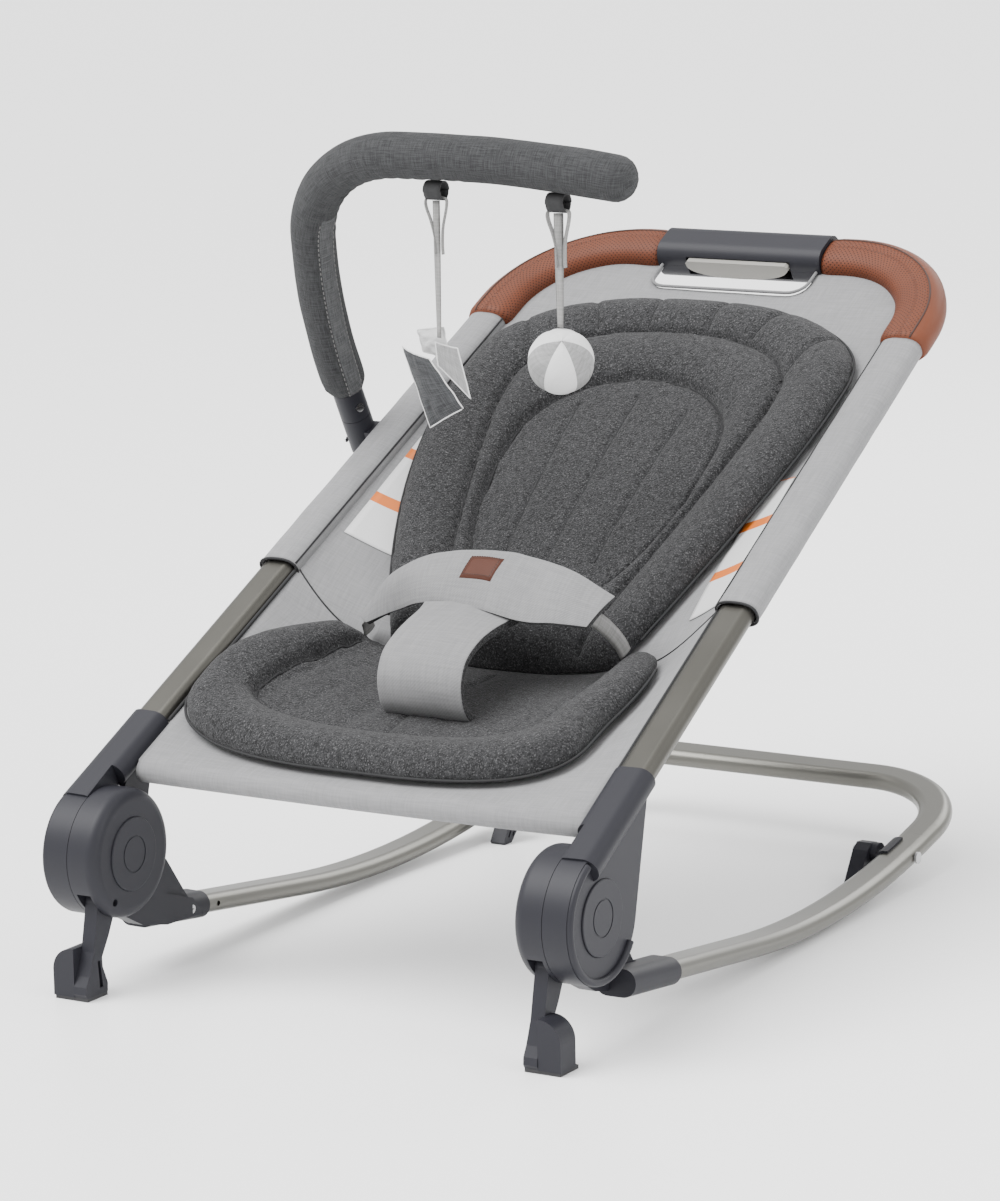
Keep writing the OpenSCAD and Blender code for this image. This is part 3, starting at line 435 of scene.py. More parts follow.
def grid(name, rows, mats, body, closed=False, caps=False, keep=None, pick=None):
    """A surface through rows of points. closed joins each row's ends, and keep and pick choose the
    faces and their materials."""
    nu, nv = len(rows), len(rows[0])
    cells = [(i, j) for i in range(nu - 1) for j in range(nv if closed else nv - 1) if not keep or keep(i, j)]
    faces = [quad(i, j, nv) for i, j in cells]
    face_mats = [pick(i, j) if pick else 0 for i, j in cells]
    if caps:
        faces += lids(nu, nv)
        face_mats += [0, 0]
    verts = [p for row in rows for p in row]
    return add_mesh(name, verts, faces, mats, body, row_uvs(rows), face_mats)


def modify(piece, kind, **settings):
    modifier = piece.modifiers.new(kind.lower(), kind)
    for key, value in settings.items():
        setattr(modifier, key, value)
    return modifier


def apply_modifiers(piece):
    depsgraph = bpy.context.evaluated_depsgraph_get()
    mesh = bpy.data.meshes.new_from_object(piece.evaluated_get(depsgraph))
    piece.modifiers.clear()
    piece.data = mesh


def frames_along(points, side):
    """Tangent, side and third direction at each point of a path."""
    out = []
    for i in range(len(points)):
        t = (points[min(i + 1, len(points) - 1)] - points[max(i - 1, 0)]).normalized()
        a = (side - t * side.dot(t)).normalized()
        out.append((t, a, t.cross(a)))
    return out


def sweep(name, points, profile, mats, body, side=Vector((1, 0, 0)), count=24, caps=True, pick=None):
    """profile(i, angle) gives (along side, along third) in millimetres for ring i."""
    rows = []
    for i, (p, (_, a, b)) in enumerate(zip(points, frames_along(points, side))):
        ring = []
        for k in range(count):
            u, v = profile(i, 2 * math.pi * k / count)
            ring.append(p + a * (u * MM) + b * (v * MM))
        rows.append(ring)
    return grid(name, rows, mats, body, closed=True, caps=caps, pick=pick)


def thread_line(name, points, radius, mat, body="seat", count=6):
    """A thread, seam or piping; radius is in millimetres."""
    def profile(_, angle):
        return radius * math.cos(angle), radius * math.sin(angle)

    piece = sweep(name, points, profile, mat, body, Vector((0.31, 0.22, 0.92)), count)
    return piece


def stitches(name, points, radius, length, gap, mat, body):
    """A row of separate stitches along a path, as one piece; sizes are in millimetres."""
    radius, length, gap = radius * MM, length * MM, gap * MM
    total = run(points)
    faces, verts, start = [], [], 0.0
    count = 5

    def at(d):
        i = int(np.searchsorted(total, d) - 1)
        i = max(0, min(i, len(points) - 2))
        f = (d - total[i]) / max(total[i + 1] - total[i], 1e-9)
        return points[i].lerp(points[i + 1], f)

    while start + length < total[-1]:
        path = [at(start + length * k / 3) for k in range(4)]
        base = len(verts)
        ends = frames_along(path, Vector((0.3, 0.2, 0.93)))
        for p, (_, a, b), r in zip(path, ends, (0.55 * radius, radius, radius, 0.55 * radius)):
            for k in range(count):
                angle = 2 * math.pi * k / count
                verts.append(p + a * r * math.cos(angle) + b * r * math.sin(angle))
        faces += [quad(i, k, count, base) for i in range(3) for k in range(count)] + lids(4, count, base)
        start += length + gap
    add_mesh(name, verts, faces, mat, body)


def curve(points, steps):
    """Smooth path through given points (Catmull-Rom)."""
    out = []
    for i in range(len(points) - 1):
        p0 = points[max(i - 1, 0)]
        p1, p2 = points[i], points[i + 1]
        p3 = points[min(i + 2, len(points) - 1)]
        for k in range(steps):
            t = k / steps
            out.append(0.5 * ((2 * p1) + (p2 - p0) * t + (2 * p0 - 5 * p1 + 4 * p2 - p3) * t * t
                              + (3 * p1 - p0 - 3 * p2 + p3) * t ** 3))
    out.append(points[-1])
    return out


def border(rows, columns):
    """Indices of a grid's points, once round its edge."""
    rim = list(range(columns)) + [i * columns + columns - 1 for i in range(1, rows)]
    rim += [(rows - 1) * columns + j for j in range(columns - 2, -1, -1)]
    return rim + [i * columns for i in range(rows - 2, 0, -1)]


def two_faced(rows, columns):
    """Faces of a grid and of its copy behind it, which faces the other way."""
    faces = []
    for i in range(rows - 1):
        for j in range(columns - 1):
            faces += [quad(i, j, columns), quad(i, j, columns, rows * columns)[::-1]]
    return faces


def oval(w, t, angle):
    """Point of a flat oval of size w by t at a given angle."""
    c, s = math.cos(angle), math.sin(angle)
    p = 2.6
    k = (abs(c / (w / 2)) ** p + abs(s / (t / 2)) ** p) ** (-1 / p)
    return k * c, k * s


def flat_strip(name, path, width, thickness, body, side, twist=0.0, count=16):
    """A ribbon, which turns by twist radians over its length."""
    def profile(i, angle):
        u, v = oval(width, thickness, angle)
        turn = twist * i / len(path)
        c, s = math.cos(turn), math.sin(turn)
        return u * c - v * s, u * s + v * c

    strip = sweep(name, path, profile, "ribbon", body, side, count)
    return strip


def get_points(mesh):
    points = np.zeros(len(mesh.vertices) * 3)
    mesh.vertices.foreach_get("co", points)
    return points.reshape(-1, 3)


def set_points(mesh, points):
    mesh.vertices.foreach_set("co", points.ravel())
    mesh.update()


# ---------- CAD nodes that stay, with their materials ----------
LEFT_RIGHT = ("_left", "_right")


def paint(mat, *names):
    for name in names:
        node = frame["nodes"][name]
        cover(node.data, mat)
        modify(node, "EDGE_SPLIT", split_angle=math.radians(32))


def both(*names):
    return [name + side for name in names for side in LEFT_RIGHT]


paint("base_metal", "base_tube")
paint("seat_metal", "seat_tube", "hem_rod", "toy_arm_tube")
paint("slate", "handle_front", "handle_rear", "toy_post", "toy_collar",
      *both("hinge_base", "base_cap", "front_foot", "rear_bracket", "rear_foot", "hinge_seat", "seat_cap"))
paint("steel", "hinge_bolts", "base_screws", "front_foot_pins", "rear_foot_pins", "socket_rivets",
      "handle_screws", "lever_springs", "post_screws", *both("index_plate", "lock_pawl", "pawl_spring"))
paint("rubber", "release_cables", *both("front_sole"))
paint("lever", "release_lever")
paint("chrome", "toy_button")


# ---------- sling ----------
def hang(s):
    """How far the sling hangs below the tubes on the middle plane."""
    if s < CREASE_S:
        return 2 + (SLING_DEEP - 2) * max(0.0, (s - HANG_S) / (CREASE_S - HANG_S)) ** 0.95
    return 3 + (SLING_DEEP - 10) * max(0.0, 1 - (s - CREASE_S) / 400) + 7 * math.exp((CREASE_S - s) / 18)


def edge_x(s):
    """Half width of the sling: up to the socket, the bare tube or the sleeve."""
    if s > SEAT_TOP - BEND_R:
        inner = BEND_R - TUBE_W / 2
        return BEND_X + math.sqrt(max(inner ** 2 - (s - SEAT_TOP + BEND_R) ** 2, 0.0))
    gap = 3.4 if s < SOCKET_END else 1.0
    return leg_x(s) - TUBE_W / 2 - gap


def sling_n(s, x):
    """The sling's smooth surface: a trough with a flat bottom."""
    u = min(abs(x) / edge_x(s), 1.0)
    return -hang(s) * (1 - u ** 2.6)


def wrinkle(x, s, size, scale):
    return size * noise.noise(Vector((x / scale, s / scale, 3.7)))


def slot_half(s):
    """Half width of the hand slot, whose lower corners are rounded."""
    short = max(0.0, SLOT_S + SLOT_R - s) / SLOT_R
    return SLOT_HALF - SLOT_R * (1 - math.sqrt(1 - min(short, 1.0) ** 2))


def sling_top(s, x):
    """The sling's wrinkled surface, which the tags lie on."""
    u = min(abs(x) / edge_x(s), 1.0)
    return sling_n(s, x) + wrinkle(x, s, 1.2, 46.0) * min(1.0, (1 - u) * 6) * (1 if s > 120 else 0.3)


SLOT_CORNER = [738.6, 740, 743, 748, 754, 761, 768]
SLOT_SPAN, SIDE_SPAN = 12, 18     # faces across the hand slot and beside it


def make_sling():
    """One sheet from the hem round its rod to the top tube, with a hole for the hand slot."""
    stations = list(np.linspace(HEM_S, 690, 96)) + list(np.linspace(697, SLOT_S, 9)) + SLOT_CORNER + [774]
    rows = []
    # the hem rolls round its rod: under, in front and over it
    for angle in (-60, -90, -115, -140, -165, -190, -215, -240, -260):
        r = HEM_R + 2.2
        s = HEM_S + r * math.cos(math.radians(angle))
        n = HEM_N + r * math.sin(math.radians(angle))
        if angle == -60:
            s, n = HEM_S + 26, HEM_N - r - 3
        rows.append([S(leg_x(s) * u - 17.5 * math.copysign(abs(u) ** 8, u), s, n - 2.0 * (1 - u * u))
                     for u in np.linspace(-0.985, 0.985, 2 * SIDE_SPAN + SLOT_SPAN + 1)])
    hole = len(rows) + stations.index(SLOT_S)
    for s in stations:
        half = edge_x(s)
        fold = min(1.0, max(0.0, (s - 600) / 110))
        middle = (1 - fold) * half * 0.45 + fold * SLOT_HALF if s < SLOT_S else slot_half(s)
        step = (half - middle) / SIDE_SPAN
        xs = [-half + step * k for k in range(SIDE_SPAN)] + list(np.linspace(-middle, middle, SLOT_SPAN + 1))
        xs += [middle + step * (k + 1) for k in range(SIDE_SPAN)]
        rows.append([S(x, s, sling_top(s, x)) for x in xs])

    def keep(i, j):
        return i < hole or not SIDE_SPAN <= j < SIDE_SPAN + SLOT_SPAN

    sling = grid("sling_cloth", rows, "sling", "seat", keep=keep)
    modify(sling, "SOLIDIFY", thickness=SLING_T * MM, offset=0.0)
    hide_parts("sling")


def make_slot_binding():
    """Bound edge of the hand slot, down one side, along the fabric and up the other side."""
    edge = [(slot_half(s), s) for s in [775, *reversed(SLOT_CORNER), SLOT_S]]
    path = [S(-x, s, 0.6) for x, s in edge]
    path += [S(x, SLOT_S, 0.6) for x in np.linspace(-54, 54, 25)]
    path += [S(x, s, 0.6) for x, s in reversed(edge)]
    thread_line("slot_binding", path, 1.4, "piping_grey", count=8)


def make_sleeve(side, name):
    """Fabric sleeve round a side tube, a little loose, with a seam on its inner side."""
    stations = np.linspace(SLEEVE_S0, GRIP_S0 + 2, 76)
    points = [S(side * leg_x(s), s, 0) for s in stations]

    def profile(i, angle):
        s = stations[i]
        size = 0.5 + 0.7 * math.exp(-(s - SLEEVE_S0) / 60)
        swell = size * noise.noise(Vector((s / 26, math.cos(angle) * 1.2, math.sin(angle) * 1.2 + side)))
        return oval(TUBE_W + 5.4 + swell, TUBE_T + 6.0 + swell, angle)

    across = direction(1, 0, 0).normalized()
    sleeve = sweep("sleeve_cloth_" + name, points, profile, "sling", "seat", across, 40, caps=False)
    modify(sleeve, "SOLIDIFY", thickness=SLEEVE_T * MM, offset=0.0)
    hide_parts("sleeve_" + name)
    seam = [S(side * (leg_x(s) - TUBE_W / 2 - 1.8), s, 6.3) for s in np.linspace(SLEEVE_S0 + 2, GRIP_S0, 60)]
    thread_line("sleeve_seam_" + name, seam, 0.9, "piping_dark")
    # bound front edge of the sleeve
    rim = [oval(TUBE_W + 6.4, TUBE_T + 7.0, a) for a in np.linspace(0, 2 * math.pi, 41)]
    ring = [S(side * leg_x(SLEEVE_S0) + u, SLEEVE_S0, v) for u, v in rim]
    thread_line("sleeve_hem_" + name, ring, 1.1, "piping_dark")


def make_edge_piping(side, name):
    """Dark piping where the sling meets the bare tube."""
    path = [S(side * (edge_x(s) - 0.5), s, 1.2) for s in np.linspace(SOCKET_END + 1, SLEEVE_S0, 40)]
    thread_line("edge_piping_" + name, path, 1.6, "piping_dark", count=8)


def make_crease_seam(side, name):
    """Sewn line across the side of the sling where its seat and back panels meet."""
    path = []
    for k in range(24):
        u = 0.72 + 0.27 * k / 23
        s = CREASE_S + 8 + 26 * (k / 23) ** 1.5
        x = side * u * edge_x(s)
        path.append(S(x, s, sling_top(s, x) + 1.0))
    thread_line("crease_seam_" + name, path, 0.8, "piping_dark")


make_sling()
make_slot_binding()
for sign, word in ((-1, "left"), (1, "right")):
    make_sleeve(sign, word)
    make_edge_piping(sign, word)
    make_crease_seam(sign, word)


# ---------- padded insert ----------
def seat_half(s):
    """Half width of the seat lobe: a rounded front, and narrower near the crease."""
    front = 1 - (max(0.0, 150 - s) / (150 - PAD_S0)) ** 2.6
    return PAD_HALF * max(front, 0.0) ** (1 / 2.6) - 30 * (max(0.0, s - 190) / 90) ** 2


def back_half(s):
    """Half width of the back lobe: a rounded head, and narrower towards the crease."""
    head = 1 - (max(0.0, s - 590) / (PAD_S1 - 590)) ** 2.5
    return PAD_HALF * max(head, 0.0) ** (1 / 2.2) - 77 * (max(0.0, 570 - s) / (570 - CREASE_S)) ** 1.8


def drift(s):
    """The seat part of the insert lies a little to the left on the sling."""
    k = min(1.0, max(0.0, (275 - s) / 110))
    return -19.0 * k * k * (3 - 2 * k)


def ring_half(s):
    """Seam between the outer border and the head ring of the back."""
    head = 1 - (max(0.0, s - 575) / 77) ** 2.4
    return 128 * max(head, 0.0) ** (1 / 2.2) - 62 * (max(0.0, 560 - s) / 270) ** 1.3


def panel_half(s):
    """Seam round the channelled middle of the back."""
    v = s - 507
    if v > 0:
        return 98 * max(1 - (v / 91) ** 2.3, 0.0) ** 0.5
    return 98 * max(1 - (-v / 185) ** 2.25, 0.0) ** 0.5


def well_half(s):
    """Seam between the seat's border and its well."""
    front = 1 - (max(0.0, 165 - s) / 38) ** 2.4
    return 132 * max(front, 0.0) ** (1 / 2.4) - 8 * (max(0.0, s - 190) / 90) ** 2


def eased(s0, s1, n):
    """Stations from s0 to s1, closer together near both ends."""
    return [s0 + (s1 - s0) * (0.5 - 0.5 * math.cos(math.pi * k / n)) for k in range(n + 1)]


def outline(half, s0, s1, low=False, n=60):
    """Both sides of a symmetric seam as one row of (x, s) points, joined at its low or its high end."""
    right = [(half(s), s) for s in eased(s0, s1, n)]
    left = [(-x, s) for x, s in reversed(right)]
    return left + right if low else right + left


def on_pad(x, s, rise):
    """A point of the insert's own pattern, rise above the gap that keeps it off the sling."""
    x += drift(s)
    return S(x, s, sling_n(s, x) + 2.0 + rise)


def dense(points, step=3.0):
    """The same line with points at most a step apart."""
    out = []
    for (x0, y0), (x1, y1) in zip(points[:-1], points[1:]):
        n = max(1, int(math.hypot(x1 - x0, y1 - y0) / step))
        out += [(x0 + (x1 - x0) * k / n, y0 + (y1 - y0) * k / n) for k in range(n)]
    return out + points[-1:]


def distance_to(points, lines):
    """Distance from each (x, s) in points to the nearest of several lines of (x, s)."""
    cloud = np.array([q for line in lines for q in dense(line)])
    pts = np.array(points)
    best = np.full(len(pts), 1e9)
    for start in range(0, len(cloud), 400):
        part = cloud[start:start + 400]
        d = np.sqrt(((pts[:, None, :] - part[None, :, :]) ** 2).sum(2)).min(1)
        best = np.minimum(best, d)
    return best


def make_pad(name, half, s0, s1, seams, firm, height, cap, node):
    """A stuffed lobe: closed shell on the sling, inflated by cloth pressure between its seams."""
    edge = outline(half, s0, s1, n=90)
    edge.append(edge[0])
    rows, count = 71, 61
    flat = []
    for s in eased(s0, s1, rows - 1):
        w = max(half(s), 1.0)
        flat += [(w * (2 * j / (count - 1) - 1), s) for j in range(count)]
    to_edge = distance_to(flat, [edge])
    to_seam, to_channel = distance_to(flat, seams[:firm]), distance_to(flat, seams[firm:])

    def thick(i):
        e = 1 - math.exp(-to_edge[i] / 9.0)
        q = 1 - 0.42 * math.exp(-to_seam[i] / 9.0) - 0.10 * math.exp(-to_channel[i] / 7.0)
        x, s = flat[i]
        return 7.0 + (height(x, s) - 7.0) * e * q

    verts = [on_pad(x, s, thick(i)) for i, (x, s) in enumerate(flat)]
    verts += [on_pad(x, s, 4.0 * math.exp(-to_edge[i] / 4.0)) for i, (x, s) in enumerate(flat)]
    total = rows * count
    faces = two_faced(rows, count)
    rim = border(rows, count)
    for a, b in zip(rim, rim[1:] + rim[:1]):
        faces.append((b, a, total + a, total + b))
    pad = add_mesh(name, verts, faces, "heather", "seat")
    modify(pad, "REMESH", mode="VOXEL", voxel_size=VOXEL * MM, use_smooth_shade=True)
    apply_modifiers(pad)
    inflate(pad, seams[:firm] + [edge], cap)
    modify(pad, "SUBSURF", levels=1, render_levels=1)
    apply_modifiers(pad)
    sew(pad, seams, [DEEP_SEAM if k < firm else SHALLOW_SEAM for k in range(len(seams))])
    # dark threads in the grooves: stitching whose darkness is painted shade for the grooves' shadow
    draw_seams_and_groove_shade(name, pad, seams, firm)
    cover(pad.data, "heather")
    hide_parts(node)


def pad_coordinates(mesh):
    """(x, s) of every vertex on the pad's own pattern, its height over the sling, and its place."""
    co = get_points(mesh)
    axes = np.array([direction(1, 0, 0) / MM, direction(0, 1, 0) / MM, direction(0, 0, 1) / MM])
    xsn = ((co - np.array(S(0, 0, 0))) @ axes.T) / MM
    spots = [(x - drift(s), s) for x, s, n in xsn]
    above = np.array([n - sling_n(s, x) for x, s, n in xsn])
    return spots, above, co


CLOTH = {
    "quality": 5, "mass": 0.25, "tension_stiffness": 18, "compression_stiffness": 12,
    "shear_stiffness": 8, "bending_stiffness": 0.6, "use_pressure": True,
    "uniform_pressure_force": 4.0, "vertex_group_mass": "hold",
}
CLOTH_FRAMES = 20
DEEP_SEAM, SHALLOW_SEAM = 6.0, 2.6


def inflate(pad, lines, cap):
    """Blender's cloth under gentle inner pressure, held at its seams and underside, then capped."""
    spots, under, before = pad_coordinates(pad.data)
    d = distance_to(spots, lines)
    group = pad.vertex_groups.new(name="hold")
    for i in np.nonzero((under < 4.5) | (d < 3.5))[0]:
        group.add([int(i)], 1.0, "REPLACE")
    cloth_mod = modify(pad, "CLOTH")
    for key, value in CLOTH.items():
        setattr(cloth_mod.settings, key, value)
    cloth_mod.settings.effector_weights.gravity = 0
    cloth_mod.collision_settings.use_self_collision = False
    cloth_mod.point_cache.frame_start = 1
    cloth_mod.point_cache.frame_end = CLOTH_FRAMES
    scene = bpy.context.scene
    for number in range(1, CLOTH_FRAMES + 1):
        scene.frame_set(number)
    apply_modifiers(pad)
    move = get_points(pad.data) - before
    length = np.linalg.norm(move, axis=1, keepdims=True)
    move *= np.minimum(1.0, cap * MM / np.maximum(length, 1e-9))
    set_points(pad.data, before + move)
    scene.frame_set(1)


def sew(pad, seams, depths):
    """Presses the stitched seams into the top of the pad, each to its own depth."""
    spots, above, co = pad_coordinates(pad.data)
    pressed = [depth * np.exp(-(distance_to(spots, [seam]) / 2.6) ** 2) for seam, depth in zip(seams, depths)]
    up = np.array(direction(0, 0, 1)) / MM
    depth = np.where(above > 7, 1, 0) * np.max(pressed, axis=0)
    depth = np.minimum(depth, np.maximum(above - 6, 0))
    set_points(pad.data, co - np.outer(depth * MM, up))


def draw_seams_and_groove_shade(name, pad, seams, firm):
    """A dark stitched line at the bottom of each groove, dropped on to the pad from above; its dark colour is
    painted shade, standing in for the groove's shadow.
    """
    tree = BVHTree.FromPolygons([v.co for v in pad.data.vertices], [p.vertices for p in pad.data.polygons])
    down = direction(0, 0, -1).normalized()
    for k, seam in enumerate(seams):
        path = []
        for x, s in dense(seam, 4.0):
            hit = tree.ray_cast(S(x + drift(s), s, 90), down)[0]
            if hit:
                path.append(hit - down * (0.0001 if k < firm else -0.0002))
        if len(path) > 3:
            radius = 0.9 if k < firm else 0.7
            # the thread's dark colour is painted shade for the shadow in the groove
            thread_line("%s_seam_%d" % (name, k), path, radius, "piping_dark")


def back_seams():
    """The head ring, the panel's edge, its three channels and the short seams across the border."""
    lines = [outline(ring_half, CREASE_S + 14, 651.8), outline(panel_half, 324, 597.8)]
    for x, lean, low, top in ((-44, -10.8, 385, 560), (-2, -1.2, 345, 575), (42, 8.4, 385, 560)):
        lines.append([(x + lean * (s - low) / (top - low), s) for s in range(low, top, 6)])
    for side in (-1, 1):
        lines.append([(side * 29, 656), (side * 30, 678), (side * 33, 698)])
        lines.append([(side * 75, 648), (side * 85, 672), (side * 100, 692)])
        lines.append([(side * 122, 598), (side * 134, 630), (side * 152, 658)])
    return lines


def seat_seams():
    """The well's edge and the seam down its middle."""
    return [outline(well_half, 127.2, CREASE_S - 8, low=True), [(0, s) for s in range(140, 268, 6)]]


def back_height(x, s):
    return 22.0 if panel_half(s) > abs(x) else 30.0


def seat_height(x, s):
    return 15.0 if well_half(s) > abs(x) else 32.0


PAD_FRONT, PAD_HEAD, PAD_CAP = PAD_S0 + 0.6, PAD_S1 - 0.6, 7.0

make_pad("insert_back_pad", back_half, CREASE_S + 4, PAD_HEAD, back_seams(), 2, back_height, PAD_CAP,
         "insert_back")
make_pad("insert_seat_pad", seat_half, PAD_FRONT, CREASE_S + 4, seat_seams(), 1, seat_height, PAD_CAP,
         "insert_seat")


def pad_piping(name, half, s0, s1, low):
    """Dark seam round the foot of a pad's border, joined at its front or at its head."""
    path = [on_pad(x, s, 6.0) for x, s in outline(lambda s: half(s) + 1.0, s0, s1, low, 120)]
    thread_line(name, path, 1.2, "piping_dark", count=8)


pad_piping("insert_back_piping", back_half, CREASE_S + 30, PAD_HEAD, False)
pad_piping("insert_seat_piping", seat_half, PAD_FRONT, CREASE_S - 25, True)


# ---------- harness ----------
BELT_HIGH = [(-126, 246, 264), (-104, 247, 297), (-62, 249, 319), (0, 243, 328), (50, 229, 328),
             (92, 218, 322), (124, 224, 304)]
BELT_LOW = [(-118, 234, 260), (-88, 237, 273), (-50, 222, 285), (0, 207, 288), (58, 188, 285), (92, 184, 287),
            (119, 187, 286)]
WAIST = (0, 262, 225)


def shell(name, rows, thickness, mats, body, rim_mat):
    """A thick cloth: outer rows, an inner copy of them and a rounded rim between."""
    nu, nv = len(rows), len(rows[0])

    def normal(i, j):
        a = rows[min(i + 1, nu - 1)][j] - rows[max(i - 1, 0)][j]
        b = rows[i][min(j + 1, nv - 1)] - rows[i][max(j - 1, 0)]
        return a.cross(b).normalized()

    verts = [p for row in rows for p in row]
    verts += [rows[i][j] - normal(i, j) * thickness for i in range(nu) for j in range(nv)]
    faces, total = [], nu * nv
    for i in range(nu - 1):
        for j in range(nv - 1):
            a, right, across, below = quad(i, j, nv)
            faces += [(a, below, across, right), quad(i, j, nv, total)]
    face_mats = [0, 1] * (len(faces) // 2)
    rim = border(nu, nv)
    for a, b in zip(rim, rim[1:] + rim[:1]):
        faces.append((a, b, total + b, total + a))
        face_mats.append(rim_mat)
    piece = add_mesh(name, verts, faces, mats, body, row_uvs(rows) * 2, face_mats)
    bevel = modify(piece, "BEVEL", width=thickness * 0.3, segments=2, limit_method="ANGLE")
    bevel.angle_limit = math.radians(50)
    return piece


def make_belt():
    """Padded waist belt between its upper and lower edges, bowed away from the child's waist."""
    high = curve([W(*p) for p in BELT_HIGH], 8)
    low = curve([W(*p) for p in BELT_LOW], 8)
    centre = W(*WAIST)
    rows = []
    n = 12
    for i in range(n + 1):
        t = i / n
        row = []
        for a, b in zip(high, low):
            p = a.lerp(b, t)
            away = (p - Vector((centre.x * 0.5 + p.x * 0.5, centre.y, centre.z))).normalized()
            row.append(p + away * MM * (5.0 * math.sin(math.pi * t) + wrinkle(p.x / MM, t * 50, 0.8, 22)))
        rows.append(row)
    belt = shell("waist_belt_cloth", rows, BELT_T * MM, ["belt", "heather"], "seat", 1)
    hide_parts("waist_belt")
    return rows


CROTCH = [(150, 207), (139, 212), (131, 222), (127.5, 236), (129, 249), (137, 262), (153, 272), (176, 281),
          (200, 287), (216, 292)]


def make_crotch():
    """Padded strap from the seat up under the belt, wider towards its top."""
    path = curve([Vector((0, y, z)) for y, z in CROTCH], 6)
    rows = []
    total = len(path) - 1
    for i, p in enumerate(path):
        t = i / total
        half = 39.5 + 10 * max(0.0, (t - 0.62) / 0.38) ** 2
        row = []
        for u in np.linspace(1, -1, 21):
            bulge = 3.0 * (1 - u * u) * math.sin(math.pi * min(1.0, t * 1.1))
            drop = -2.0 * max(0.0, t - 0.7) * abs(u) * 8
            row.append(W(half * u, p.y - bulge + wrinkle(u * 40, t * 150, 0.7, 24), p.z + bulge * 0.6 + drop))
        rows.append(row)
    strap = shell("crotch_strap_cloth", rows, CROTCH_T * MM, ["belt", "heather"], "seat", 1)
    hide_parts("crotch_strap")


def make_patch(rows):
    """Small leather patch with a stitched border, on the belt's face."""
    n, m = len(rows), len(rows[0])

    def on_belt(x, t):
        """The belt's face at x millimetres across and at t of the way up it."""
        down = (1 - t) * (n - 1)
        i = int(down)
        row, after = rows[i], rows[min(i + 1, n - 1)]
        xs = [(p.x - HINGE.x) / MM for p in row]
        j = min(range(m), key=lambda k: abs(xs[k] - x))
        k = j + 1 if xs[j] < x and j + 1 < m else max(j - 1, 0)
        f = (x - xs[j]) / (xs[k] - xs[j]) if abs(xs[k] - xs[j]) > 1e-6 else 0.0
        return row[j].lerp(row[k], f).lerp(after[j].lerp(after[k], f), down - i)

    def on_patch(x, t):
        """The patch leans a little, so x moves with t."""
        return on_belt(x + (t - 0.5) * 9, t)

    out = (on_belt(-3, 0.7) - W(*WAIST)).normalized() * 0.0004
    patch_rows = [[on_patch(x, t) + out for x in np.linspace(-20, 15, 9)] for t in np.linspace(0.40, 0.82, 7)]
    patch = shell("belt_patch_leather", patch_rows, -PATCH_T * MM, ["patch", "patch"], "seat", 0)
    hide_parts("belt_patch")
    raised = out * 5.0
    x0, x1, t0, t1 = -18, 13, 0.44, 0.78
    frame_line = [(x, t0) for x in np.linspace(x0, x1, 12)] + [(x1, t) for t in np.linspace(t0 + 0.01, t1, 8)]
    frame_line += [(x, t1) for x in np.linspace(x1, x0, 12)] + [(x0, t) for t in np.linspace(t1, t0, 8)]
    loop = [on_patch(x, t) + raised for x, t in frame_line]
    stitches("belt_patch_stitches", loop, 0.35, 1.8, 0.9, "thread_dark", "seat")


def make_belt_straps():
    """Webbing ends that go from the belt into the sling."""
    paths = {
        "right": [(108, 204, 291), (112, 216, 285), (115, 232, 273), (117, 244, 261), (118, 250, 252)],
        "left": [(-121, 240, 262), (-124, 246, 258), (-126, 250, 254), (-127, 254, 248)],
    }
    for name, points in paths.items():
        path = curve([W(*p) for p in points], 5)
        across = Vector((0.2, 0.75, 0.6))
        strap = flat_strip("belt_webbing_" + name, path, WEB_W, WEB_T, "seat", across, count=20)
        if name == "left":
            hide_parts("belt_straps")


belt_rows = make_belt()
make_crotch()
make_patch(belt_rows)
make_belt_straps()


# ---------- tags ----------
def make_tag(side, name, u0, u1, s0, s1):
    """A sewn-in tag on one side of the sling, from u0 to u1 of its half width."""
    rows = []
    for s in np.linspace(s0, s1, 26):
        xs = [side * u * edge_x(s) for u in np.linspace(u0, u1, 10)]
        rows.append([S(x, s, sling_top(s, x) + 1.9) for x in xs])
    tag = grid("care_tag_" + name, rows, "tag", "seat")
    modify(tag, "SOLIDIFY", thickness=TAG_T * MM, offset=0.0)
    width = (u1 - u0) * edge_x((s0 + s1) / 2)
    return tag


left_tag = make_tag(-1, "left", 0.66, 0.95, 372, 505)
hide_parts("side_tags")
make_tag(1, "right", 0.80, 0.955, 325, 490)


# ---------- grips ----------
def corner_path(s_start, x_end, step=6.0):
    """Path of the seat tube's corner from s_start up a side and in to x_end, as (x, s)."""
    path = [(leg_x(s), s) for s in np.arange(s_start, BEND_S, step)]
    sweep_angle = math.pi / 2 - SEAT_TAPER
    for k in range(25):
        a = SEAT_TAPER + sweep_angle * k / 24
        path.append((BEND_X + BEND_R * math.cos(a), SEAT_TOP - BEND_R + BEND_R * math.sin(a)))
    path += [(x, SEAT_TOP) for x in np.arange(BEND_X - step, x_end, -step)] + [(x_end, SEAT_TOP)]
    return path


def along_face(points, side, profile, angle, proud):
    """A line along a swept piece at one angle of its profile, just proud of it."""
    line = []
    for i, (p, (_, a, b)) in enumerate(zip(points, frames_along(points, side))):
        u, v = profile(i, angle)
        line.append(p + (a * u + b * v) * MM * proud)
    return line


GRIP_SEAMS = (38, 142)            # degrees round the tube from its front


